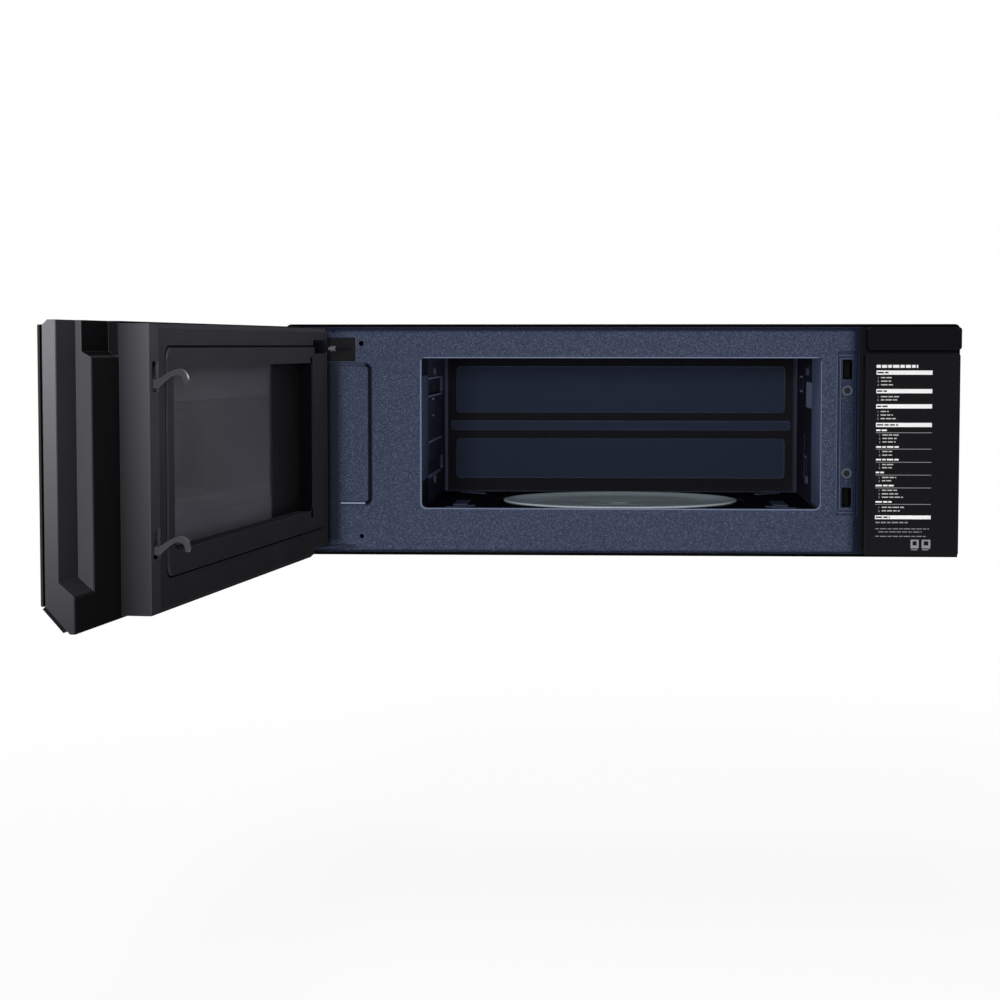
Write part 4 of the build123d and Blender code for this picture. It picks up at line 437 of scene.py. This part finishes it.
glasses = {
    "frontGlass": dict(pane, colour=(0.003, 0.003, 0.0035), clear=0.0, roughness=0.05, cloudScale=5),
    # the glass is darker on its hinge side as painted shade
    "windowGlass": dict(pane, colour=(0.72, 0.72, 0.75), clear=0.98, roughness=0.04, cloudScale=7, specular=0.0,
                        ior=1.04, patches=[patch((0.35, 0.35, 0.36), shadedWindowSide, soft=0.003)]),
    "trayGlass": dict(pane, colour=(0.62, 0.74, 0.79), clear=0.2, roughness=0.12, cloudScale=12,
                      edgeHighlightColour=(1.0, 1.0, 1.0), edgeRadius=0.0016),
    "lensGlass": dict(pane, colour=(0.86, 0.86, 0.84), clear=0.6, roughness=0.4, cloudScale=30),
}
finishes = {}
for makeFinish, looks in ((plasticFinish, plastics), (enamelFinish, enamels), (metalFinish, metals),
                          (glassFinish, glasses)):
    for name, look in looks.items():
        finishes[name] = makeFinish(name, look)

nodeFinish = {
    "caseCoat": ["outer_case", "base_plate"],
    "faceEnamel": ["front_frame"],
    "cavityEnamel": ["cavity_liner"],
    "panelPlastic": ["side_panel", "control_strip"],
    "blockPlastic": ["corner_block"],
    "coverMoulding": ["door_inner_cover"],
    "frameMoulding": ["door_frame"],
    "blackPlastic": ["top_grille", "cord_gland", "interlock_bracket", "panel_base",
                     "lower_interlock_lever", "upper_interlock_lever", "interlock_switches"],
    "hingeCoat": ["upper_hinge"],
    "lowerHingeCoat": ["lower_hinge"],
    "screenCoat": ["door_screen", "door_choke_frame"],
    "hookPlastic": ["latch_lever"],
    "darkPart": ["drive_coupler", "roller_ring", "roller_1", "roller_2", "roller_3", "cavity_lamp", "fan_impeller",
                 "blower_wheel", "hinge_bushes", "latch_guides"],
    "zincSheet": ["wall_plate", "back_plate", "turntable_motor", "waveguide", "fan_shroud", "fan_motor",
                  "blower_housing", "blower_motor", "exhaust_duct", "damper_frame", "damper_flap"],
    "plainSteel": ["bracket_screws", "hinge_pins", "latch_spring"],
    "bareAluminium": ["magnetron", "capacitor", "grease_filter_left", "grease_filter_right"],
    "windings": ["transformer"],
    "boardGreen": ["control_board", "light_board", "touch_board"],
    "charcoalPad": ["charcoal_filter"],
    "foamRubber": ["glass_gasket"],
    "micaSheet": ["waveguide_cover"],
    "frontGlass": ["door_glass"],
    "windowGlass": ["door_inner_glass"],
    "trayGlass": ["turntable_tray"],
    "lensGlass": ["light_cover"],
}
for finishName, members in nodeFinish.items():
    for member in members:
        mesh = nodes[member].data
        mesh.materials.clear()
        mesh.materials.append(finishes[finishName])
undressed = set(nodes) - {member for members in nodeFinish.values() for member in members}
print("finishes made,", len(finishes), "left plain:", sorted(undressed))


# small helpers for pieces

def addObject(name, data):
    made = bpy.data.objects.new(name, data)
    bpy.context.scene.collection.objects.link(made)
    return made


def bakedMesh(holder):
    # the holder's shape as a plain mesh
    graph = bpy.context.evaluated_depsgraph_get()
    return bpy.data.meshes.new_from_object(holder.evaluated_get(graph))


def keepPiece(name, mesh, body, finish=None, stands=()):
    piece = addObject(name, mesh)
    if finish:
        mesh.materials.clear()
        mesh.materials.append(finishes[finish])
    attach(piece, body)
    if stands:
        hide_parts(*stands)
    return piece


def meshFrom(builder, name, smooth=None):
    # a mesh of what the builder holds, smooth up to an angle in degrees where one is given
    bmesh.ops.remove_doubles(builder, verts=builder.verts, dist=1e-7)
    bmesh.ops.recalc_face_normals(builder, faces=builder.faces)
    mesh = bpy.data.meshes.new(name)
    builder.to_mesh(mesh)
    builder.free()
    if smooth is not None:
        mesh.polygons.foreach_set("use_smooth", [True] * len(mesh.polygons))
        mesh.set_sharp_from_angle(angle=math.radians(smooth))
    return mesh


def addBox(builder, low, high):
    made = bmesh.ops.create_cube(builder, size=1.0)["verts"]
    centre = (Vector(low) + Vector(high)) / 2
    size = Vector(high) - Vector(low)
    for corner in made:
        corner.co = Vector((corner.co[i] * size[i] + centre[i] for i in range(3)))


def addLathe(builder, profile, steps, centre):
    # profile is a closed ring of (radius, height), centre the foot of its axis
    rings = []
    for radius, height in profile:
        turns = [2 * math.pi * step / steps for step in range(steps if radius > 0 else 1)]
        rings.append([builder.verts.new(centre + Vector((radius * math.cos(turn), radius * math.sin(turn), height)))
                      for turn in turns])
    for first, second in zip(rings, rings[1:] + rings[:1]):
        if len(first) == 1 and len(second) == 1:
            continue
        for step in range(steps):
            after = (step + 1) % steps
            if len(first) == 1:
                builder.faces.new((first[0], second[step], second[after]))
            elif len(second) == 1:
                builder.faces.new((first[step], second[0], first[after]))
            else:
                builder.faces.new((first[step], second[step], second[after], first[after]))


# Geometry Nodes trees

def startTree(name, inputs):
    tree = bpy.data.node_groups.new(name, "GeometryNodeTree")
    for label, kind, value in inputs:
        socket = tree.interface.new_socket(name=label, in_out="INPUT", socket_type=kind)
        if value is not None:
            socket.default_value = value
    tree.interface.new_socket(name="Geometry", in_out="OUTPUT", socket_type="NodeSocketGeometry")
    given = tree.nodes.new("NodeGroupInput")
    return tree, given.outputs


def endTree(tree, parts, finish=None):
    joined = tree.nodes.new("GeometryNodeJoinGeometry")
    for part in parts:
        tree.links.new(part, joined.inputs[0])
    plain = put(tree, "GeometryNodeRealizeInstances", {"Geometry": joined.outputs[0]})
    if finish:
        plain = put(tree, "GeometryNodeSetMaterial", {"Geometry": plain.outputs[0], "Material": finish})
    result = tree.nodes.new("NodeGroupOutput")
    tree.links.new(plain.outputs[0], result.inputs[0])


def barRow(tree, length, across, pitch, bar, thickness, alongX):
    # bars of one length laid side by side around the middle
    count = mathNode(tree, "ADD", mathNode(tree, "FLOOR", mathNode(tree, "DIVIDE", across, pitch)), 1.0)
    reach = mathNode(tree, "MULTIPLY", mathNode(tree, "SUBTRACT", count, 1.0), pitch)
    start = mathNode(tree, "MULTIPLY", reach, -0.5)
    size = put(tree, "ShaderNodeCombineXYZ", {
        0: length if alongX else bar, 1: bar if alongX else length, 2: thickness})
    first = put(tree, "ShaderNodeCombineXYZ", {1 if alongX else 0: start})
    step = put(tree, "ShaderNodeCombineXYZ", {1 if alongX else 0: pitch})
    line = put(tree, "GeometryNodeMeshLine", {
        "Count": count, "Start Location": first.outputs[0], "Offset": step.outputs[0]}, mode="OFFSET")
    cube = put(tree, "GeometryNodeMeshCube", {"Size": size.outputs[0]})
    laid = put(tree, "GeometryNodeInstanceOnPoints", {"Points": line.outputs[0], "Instance": cube.outputs[0]})
    return laid.outputs[0]


def barTree(name, crossed):
    # a row of bars, or two rows that cross
    tree, given = startTree(name, [
        ("Width", "NodeSocketFloat", 0.1), ("Height", "NodeSocketFloat", 0.1), ("Pitch", "NodeSocketFloat", 0.002),
        ("Bar", "NodeSocketFloat", 0.001), ("Thickness", "NodeSocketFloat", 0.001),
        ("Finish", "NodeSocketMaterial", None)])
    wide, high, pitch, bar, thickness = (given[label] for label in ("Width", "Height", "Pitch", "Bar", "Thickness"))
    rows = [barRow(tree, wide, high, pitch, bar, thickness, True)]
    if crossed:
        thinner = mathNode(tree, "MULTIPLY", thickness, 0.9)
        rows.append(barRow(tree, high, wide, pitch, bar, thinner, False))
    endTree(tree, rows, given["Finish"])
    return tree


def raised(tree, geometry, height):
    lift = put(tree, "ShaderNodeCombineXYZ", {2: height})
    moved = put(tree, "GeometryNodeTransform", {"Geometry": geometry, "Translation": lift.outputs[0]})
    return moved.outputs[0]


def screwTree():
    # a washer and a pan head with a cross recess on every point of the holder's mesh
    tree, given = startTree("screwHeads", [
        ("Points", "NodeSocketGeometry", None), ("Washer", "NodeSocketFloat", 0.005),
        ("Head", "NodeSocketFloat", 0.0035), ("Height", "NodeSocketFloat", 0.0012), ("Seed", "NodeSocketInt", 3),
        ("Ring", "NodeSocketMaterial", None), ("Finish", "NodeSocketMaterial", None)])

    def part(label, by):
        return mathNode(tree, "MULTIPLY", given[label], by)

    washer = put(tree, "GeometryNodeMeshCylinder", {
        "Vertices": 32, "Radius": given["Washer"], "Depth": part("Height", 0.5)})
    washer = raised(tree, washer.outputs["Mesh"], part("Height", 0.25))
    head = put(tree, "GeometryNodeMeshCone", {
        "Vertices": 32, "Radius Top": part("Head", 0.72), "Radius Bottom": given["Head"],
        "Depth": part("Height", 0.5)})
    cut = put(tree, "GeometryNodeMeshBoolean", {
        "Mesh 1": raised(tree, head.outputs["Mesh"], part("Height", 0.5))}, operation="DIFFERENCE")
    for wide, deep in ((1.1, 0.26), (0.26, 1.1)):
        size = put(tree, "ShaderNodeCombineXYZ", {
            0: part("Head", wide), 1: part("Head", deep), 2: part("Height", 0.7)})
        slot = put(tree, "GeometryNodeMeshCube", {"Size": size.outputs[0]})
        tree.links.new(raised(tree, slot.outputs["Mesh"], given["Height"]), cut.inputs["Mesh 2"])
    both = tree.nodes.new("GeometryNodeJoinGeometry")
    for piece, finish in ((washer, "Ring"), (cut.outputs["Mesh"], "Finish")):
        dressed = put(tree, "GeometryNodeSetMaterial", {"Geometry": piece, "Material": given[finish]})
        tree.links.new(dressed.outputs[0], both.inputs[0])
    turn = put(tree, "FunctionNodeRandomValue", {"Seed": given["Seed"], "Max": math.pi}, data_type="FLOAT")
    angle = next(socket for socket in turn.outputs if socket.enabled and socket.type == "VALUE")
    spin = put(tree, "ShaderNodeCombineXYZ", {2: angle})
    laid = put(tree, "GeometryNodeInstanceOnPoints", {
        "Points": given["Points"], "Instance": both.outputs[0], "Rotation": spin.outputs[0]})
    endTree(tree, [laid.outputs[0]])
    return tree


def growMesh(name, tree, sizes, place, points=()):
    start = bpy.data.meshes.new(name + "Start")
    start.from_pydata([tuple(point) for point in points], [], [])
    holder = addObject(name + "Holder", start)
    grow = holder.modifiers.new("grow", "NODES")
    grow.node_group = tree
    for item in tree.interface.items_tree:
        if item.in_out == "INPUT" and item.name in sizes:
            grow[item.identifier] = sizes[item.name]
    mesh = bakedMesh(holder)
    holder.modifiers.remove(grow)
    bpy.data.objects.remove(holder)
    mesh.name = name
    mesh.transform(place)
    return mesh


def barSizes(look, width, height, finish):
    return {"Width": width, "Height": height, "Pitch": look["pitch"], "Bar": look["bar"],
            "Thickness": look["thickness"], "Finish": finishes[finish]}


lattice = barTree("barLattice", True)
slats = barTree("slatRow", False)
screws = screwTree()


def facing(origin, along, normal):
    # a placing matrix whose X lies along and whose Z is the normal
    x = Vector(along).normalized()
    z = Vector(normal).normalized()
    y = z.cross(x)
    return Matrix.Translation(Vector(origin)) @ Matrix((x, y, z)).transposed().to_4x4()


# perforated screen of the door
screenLook = dict(left=-0.226, right=0.210, bottom=0.074, top=0.210, reach=0.02305, pitch=0.0022, bar=0.0010,
                  thickness=0.0007, rim=0.013, rimTall=0.023, rimShare=0.55)


def makeScreen(look):
    width = look["right"] - look["left"]
    height = look["top"] - look["bottom"]
    middle = doorPoint((look["left"] + look["right"]) / 2, look["reach"], (look["bottom"] + look["top"]) / 2)
    place = facing(middle, doorAlong, doorOut)
    sizes = barSizes(look, width - look["rim"], height - look["rimTall"], "screenCoat")
    mesh = growMesh("doorScreenSheet", lattice, sizes, place)
    builder = bmesh.new()
    builder.from_mesh(mesh)
    half = look["thickness"] * look["rimShare"]
    right, top = width / 2, height / 2
    inner, mid = right - look["rim"], top - look["rimTall"]
    for low, high in (((-right, -top), (right, -mid)), ((-right, mid), (right, top)),
                      ((-right, -mid), (-inner, mid)), ((inner, -mid), (right, mid))):
        before = set(builder.verts)
        addBox(builder, (*low, -half), (*high, half))
        for corner in set(builder.verts) - before:
            corner.co = place @ corner.co
    bmesh.ops.recalc_face_normals(builder, faces=builder.faces)
    builder.to_mesh(mesh)
    builder.free()
    return keepPiece("doorScreenSheet", mesh, "door", "screenCoat", ["door_screen"])


makeScreen(screenLook)
print("door screen made")

# glass tray of the turntable
trayLook = dict(radius=0.142, thickness=0.004, foot=0.118, ridges=(0.034, 0.066, 0.098), ridgeWidth=0.0022,
                ridgeHeight=0.0005, hub=0.014, hubHeight=0.0012, lug=0.0025, lugLength=0.0025, lugTrack=0.015,
                lugRound=0.0006, lugSteps=24, steps=160)
trayRise = [(-0.003, 0.0), (0.006, 0.0012)]  # from the foot's radius, above the plate
trayRim = [(-0.009, -0.0014), (-0.005, -0.0002), (-0.003, 0.0), (-0.0008, -0.0006), (0.0, -0.0018),
           (-0.0012, -0.0034), (-0.006, -0.0052)]  # from the tray's radius and the rim's top
trayFoot = [(0.009, 0.0013), (0.002, 0.0001), (0.0, 0.0)]  # from the foot's radius, above the foot


def makeTray(look):
    low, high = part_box("turntable_tray")
    centre = Vector(((low.x + high.x) / 2, (low.y + high.y) / 2, low.z + look["lugLength"]))
    top = look["thickness"]
    rimTop = high.z - centre.z
    shape = [(0.0, top + look["hubHeight"]), (look["hub"] * 0.55, top + look["hubHeight"]),
             (look["hub"] * 0.8, top + look["hubHeight"] * 0.6), (look["hub"], top)]
    for ridge in look["ridges"]:
        shape += [(ridge - look["ridgeWidth"], top), (ridge, top + look["ridgeHeight"]),
                  (ridge + look["ridgeWidth"], top)]
    for points, radius, height in ((trayRise, look["foot"], top), (trayRim, look["radius"], rimTop),
                                   (trayFoot, look["foot"], 0.0)):
        shape += [(radius + out, height + up) for out, up in points]
    builder = bmesh.new()
    addLathe(builder, shape + [(0.0, 0.0)], look["steps"], centre)
    for step in range(3):
        turn = 2 * math.pi * step / 3 + math.pi / 3
        foot = centre + Vector((look["lugTrack"] * math.cos(turn), look["lugTrack"] * math.sin(turn), 0))
        profile = [(0.0, 0.0005), (look["lug"], 0.0005), (look["lug"], look["lugRound"] - look["lugLength"]),
                   (look["lug"] - look["lugRound"], -look["lugLength"]), (0.0, -look["lugLength"])]
        addLathe(builder, profile, look["lugSteps"], foot)
    mesh = meshFrom(builder, "glassTray", 35)
    return keepPiece("glassTray", mesh, "turntable", "trayGlass", ["turntable_tray"])


makeTray(trayLook)
print("tray made")

# chart on the side panel: blank bars, rules and strokes with plain numbers, placed by the photo's pixels
chartLook = dict(reach=0.029, lift=0.00006, thick=0.00012, scale=0.8951, centreX=621.5, centreY=346.5, level=0.2366,
                 left=875.5, right=930.6, numberSize=0.0028, word=(6.4, 4.2, 5.1, 3.4), gap=1.1, rule=0.3,
                 barLeft=876.3, headLeft=875.8, headTall=1.5, rowTall=1.05, rowIndent=3.4)
chartTitle = (875.5, 365.9, 41, 2.9)
chartBars = [(370.0, 374.2, 11), (388.4, 392.6, 11), (403.5, 407.7, 12), (422.0, 426.1, 21), (514.3, 518.0, 14)]
chartRows = [(876.6, (377.1, 380.6, 384.2), (11, 10, 12)), (876.6, (396.0, 399.2), (20, 17)),
             (876.6, (410.7, 414.2, 417.8), (8, 12, 17)), (878.6, (434.1, 437.5, 441.0), (16, 14, 13)),
             (878.6, (450.5, 454.1), (11, 10)), (878.6, (463.5, 466.7), (13, 10)), (878.6, (476.4, 479.7), (14, 9)),
             (878.6, (489.2, 492.8, 496.1), (17, 16, 21)), (878.6, (506.2, 509.7), (22, 18))]
chartHeads = [(429.4, 12, 431.8), (446.0, 24, 448.1), (458.6, 24, 461.2), (471.4, 8, 474.0), (484.5, 19, 486.8),
              (500.8, 16, 503.2)]
chartNotes = [(521.4, 876.0, 908.0, 1.3), (527.7, 876.0, 929.0, 0.8), (530.8, 879.0, 922.0, 0.8),
              (535.2, 876.0, 926.0, 0.8)]
chartTiles = [(911.0, 919.0, 538.5, 547.2), (922.0, 930.6, 538.5, 547.2)]


def chartSpot(px, py):
    x = (px - chartLook["centreX"]) / chartLook["scale"] * mm
    height = chartLook["level"] - (py - chartLook["centreY"]) / chartLook["scale"] * mm
    return x, baseZ + height


def addStroke(builder, left, top, right, bottom, layer=1):
    frontY = faceY - chartLook["reach"] - chartLook["lift"] * layer
    x0, z0 = chartSpot(left, bottom)
    x1, z1 = chartSpot(right, top)
    addBox(builder, (x0, frontY, z0), (x1, frontY + chartLook["thick"], z1))


def addWords(builder, left, middle, length, tall, layer=1):
    # a run of short blank strokes with gaps, where a chart has words
    at = left
    step = int(middle) % 4
    while at < left + length - 1:
        reach = min(chartLook["word"][step % 4], left + length - at)
        addStroke(builder, at, middle - tall / 2, at + reach, middle + tall / 2, layer)
        at += reach + chartLook["gap"]
        step += 1


def addNumber(builder, text, px, py):
    curve = bpy.data.curves.new("number", "FONT")
    curve.body = text
    curve.size = chartLook["numberSize"]
    curve.extrude = chartLook["thick"] / 2
    holder = addObject("numberHolder", curve)
    mesh = bakedMesh(holder)
    bpy.data.objects.remove(holder)
    x, z = chartSpot(px, py)
    mesh.transform(facing((x, faceY - chartLook["reach"] - chartLook["lift"] / 2, z), (1, 0, 0), (0, -1, 0)))
    builder.from_mesh(mesh)


def makeChart():
    look = chartLook
    bars, rows, rules, marks = (bmesh.new() for part in range(4))
    addWords(bars, *chartTitle)
    for top, bottom, length in chartBars:
        addStroke(bars, look["left"], top, look["right"], bottom)
        addWords(marks, look["barLeft"], (top + bottom) / 2, length, look["headTall"], 2)
    for middle, length, rule in chartHeads:
        addWords(bars, look["headLeft"], middle, length, look["headTall"])
        addStroke(rules, look["left"], rule - look["rule"], look["right"], rule + look["rule"])
    for left, middles, lengths in chartRows:
        for number, (middle, length) in enumerate(zip(middles, lengths)):
            addNumber(rows, str(number + 1), left, middle + look["rowTall"])
            addWords(rows, left + look["rowIndent"], middle, length, look["rowTall"])
    for middle, left, right, tall in chartNotes:
        addWords(rules, left, middle, right - left, tall)
    for left, right, top, bottom in chartTiles:
        addStroke(rules, left, top, right, bottom)
        addStroke(marks, left + 2, top + 1.5, right - 2, bottom - 3, 2)
        addWords(rules, left + 0.5, bottom + 1.4, right - left - 1, 0.8)
    for name, builder, finish in (("chartBars", bars, "chartInk"), ("chartRows", rows, "rowInk"),
                                  ("chartRules", rules, "paleInk"), ("chartMarks", marks, "panelPlastic")):
        keepPiece(name, meshFrom(builder, name), "cabinet", finish)


makeChart()
print("chart made")

# screws: the two in the latch strip, and those of the back plate
latchScrewLook = dict(x=0.2548, depth=0.0017, heights=(0.0942, 0.1874), washer=0.0056, head=0.0036, height=0.0021)
backScrewLook = dict(depth=0.43815, inset=0.018, shift=0.006, washer=0.0052, head=0.0038, height=0.0015)


def growScrews(name, look, seed, ring, finish, place, points, stands=()):
    sizes = {"Washer": look["washer"], "Head": look["head"], "Height": look["height"], "Seed": seed,
             "Ring": finishes[ring], "Finish": finishes[finish]}
    keepPiece(name, growMesh(name, screws, sizes, place, points), "cabinet", None, stands)


def makeScrews():
    look = latchScrewLook
    place = facing((look["x"], faceY + look["depth"], baseZ), (1, 0, 0), (0, -1, 0))
    points = [(0, height, 0) for height in look["heights"]]
    growScrews("latchScrewHeads", look, 4, "screwRing", "screwBlack", place, points, ["bracket_screws"])
    look = backScrewLook
    low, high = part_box("back_plate")
    place = facing((0, faceY + look["depth"], 0), (-1, 0, 0), (0, 1, 0))
    across = high.x - look["inset"]
    points = [(x, z, 0) for x in (-across, -across / 3, across / 3, across)
              for z in (low.z + look["inset"], high.z - look["inset"] + look["shift"])]
    growScrews("backScrewHeads", look, 9, "plainSteel", "plainSteel", place, points)


makeScrews()
print("screws made")


def makeSpring():
    mesh = nodes["latch_spring"].data.copy()
    piece = keepPiece("latchCoil", mesh, "door", "plainSteel", ["latch_spring"])
    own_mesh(piece)


makeSpring()
print("spring made")

# mesh of the grease filters and ribs of the lamp lens
filterLook = dict(rim=0.0065, pitch=0.0034, bar=0.0007, thickness=0.0008, sheet=0.0015, lift=0.0013)
lensLook = dict(pitch=0.0026, bar=0.0013, thickness=0.0006, margin=0.006, length=0.092, shift=-0.002, lift=0.0027)


def makeUnderside():
    look = filterLook
    for node, body in (("grease_filter_left", "left_filter"), ("grease_filter_right", "right_filter")):
        low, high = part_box(node)
        low.z = baseZ + look["sheet"]
        middle = (low + high) / 2
        place = facing((middle.x, middle.y, low.z + look["lift"]), (1, 0, 0), (0, 0, -1))
        sizes = barSizes(look, high.x - low.x - 2 * look["rim"], high.y - low.y - 2 * look["rim"], "bareAluminium")
        keepPiece(node + "_mesh", growMesh(node + "Mesh", lattice, sizes, place), body, None)
    look = lensLook
    low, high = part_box("light_cover")
    middle = ((low.x + high.x) / 2, (low.y + high.y) / 2 + look["shift"], baseZ + look["lift"])
    sizes = barSizes(look, high.y - low.y - 2 * look["margin"], look["length"], "lensGlass")
    mesh = growMesh("lensRibs", slats, sizes, facing(middle, (0, 1, 0), (0, 0, 1)))
    keepPiece("lensRibs", mesh, "lamp_cover", None)


makeUnderside()
print("underside made")

# studio: floor, lamps, world and camera
studio = dict(floorDrop=0.42, floorSize=30.0, floorColour=(0.93, 0.93, 0.93), floorRoughness=0.9,
              floorSpecular=0.1, glow=0.85, near=1.0, far=2.4, ambient=0.2)
lamps = {
    "keyLamp": dict(place=(-0.3, -4.5, 0.25), aim=(0.0, -0.4, 0.0), size=(0.8, 0.5), power=88),
    "highLamp": dict(place=(-0.5, -3.8, 1.9), aim=(0.0, -0.4, 0.0), size=(0.8, 0.8), power=45),
    "topLamp": dict(place=(-0.2, -0.4, 2.6), aim=(-0.1, -0.4, 0.0), size=(2.0, 1.2), power=22),
    "backRightLamp": dict(place=(1.6, 3.4, 0.9), aim=(0.1, 0.0, 0.0), size=(1.4, 1.4), power=70),
    "backLeftLamp": dict(place=(-2.8, 2.2, 0.7), aim=(-0.2, -0.4, 0.0), size=(1.4, 1.4), power=60),
}
cameraLook = dict(place=(-0.00247, -3.02317, 0.1066), pan=0.051726, tilt=0.06745, focal=2281.8, pixels=1000,
                  sensor=36.0, clipEnd=100)  # focal length and picture width in pixels


def raysToEye(tree):
    # 1 for what the camera sees, straight, mirrored or through glass
    path = put(tree, "ShaderNodeLightPath")
    seen = mathNode(tree, "MAXIMUM", path.outputs["Is Camera Ray"], path.outputs["Is Glossy Ray"])
    return mathNode(tree, "MAXIMUM", seen, path.outputs["Is Transmission Ray"])


def makeStudio():
    mesh = bpy.data.meshes.new("studioFloor")
    half = studio["floorSize"] / 2
    level = baseZ - studio["floorDrop"]
    mesh.from_pydata([(-half, -half, level), (half, -half, level), (half, half, level), (-half, half, level)], [],
                     [(0, 1, 2, 3)])
    addObject("studioFloor", mesh)
    paint, tree, shader = startFinish("floorPaint")
    setSockets(tree, shader, {
        "Base Color": shade(studio["floorColour"]), "Roughness": studio["floorRoughness"],
        "Specular IOR Level": studio["floorSpecular"]})
    white = put(tree, "ShaderNodeEmission", {"Color": (1, 1, 1, 1), "Strength": 1.0})
    place = put(tree, "ShaderNodeTexCoord")
    away = put(tree, "ShaderNodeVectorMath", {0: place.outputs["Object"], 1: (0, faceY, level)},
               operation="DISTANCE")
    glow = spread(tree, away.outputs["Value"], studio["glow"], 1.0, studio["near"], studio["far"])
    share = mathNode(tree, "MULTIPLY", raysToEye(tree), glow)
    lit = put(tree, "ShaderNodeMixShader", {0: share, 1: shader.outputs[0], 2: white.outputs[0]})
    side = put(tree, "ShaderNodeNewGeometry")
    clear = put(tree, "ShaderNodeBsdfTransparent")
    both = put(tree, "ShaderNodeMixShader", {
        0: side.outputs["Backfacing"], 1: lit.outputs[0], 2: clear.outputs[0]})
    tree.links.new(both.outputs[0], tree.nodes["Material Output"].inputs["Surface"])
    mesh.materials.append(paint)

    for name, look in lamps.items():
        light = bpy.data.lights.new(name, "AREA")
        light.shape = "RECTANGLE"
        light.size, light.size_y = look["size"]
        light.energy = look["power"]
        lamp = addObject(name, light)
        lamp.location = look["place"]
        aim = Vector(look["aim"]) - Vector(look["place"])
        lamp.rotation_euler = aim.to_track_quat("-Z", "Y").to_euler()

    world = bpy.data.worlds.new("studioWorld")
    bpy.context.scene.world = world
    world.use_nodes = True
    tree = world.node_tree
    back = tree.nodes["Background"]
    back.inputs["Color"].default_value = (1, 1, 1, 1)
    strength = put(tree, "ShaderNodeMapRange", {
        "Value": raysToEye(tree), "To Min": studio["ambient"], "To Max": 1.0})
    tree.links.new(strength.outputs["Result"], back.inputs["Strength"])

    camera = bpy.data.cameras.new("photoCamera")
    camera.sensor_width = cameraLook["sensor"]
    camera.lens = cameraLook["focal"] * cameraLook["sensor"] / cameraLook["pixels"]
    camera.clip_end = cameraLook["clipEnd"]
    eye = addObject("photoCamera", camera)
    eye.location = cameraLook["place"]
    pan, tilt = cameraLook["pan"], cameraLook["tilt"]
    ahead = Vector((-math.sin(pan) * math.cos(tilt), math.cos(pan) * math.cos(tilt), -math.sin(tilt)))
    eye.rotation_euler = ahead.to_track_quat("-Z", "Y").to_euler()
    bpy.context.scene.camera = eye
    bpy.context.scene.view_settings.view_transform = "Standard"


makeStudio()
print("studio made")
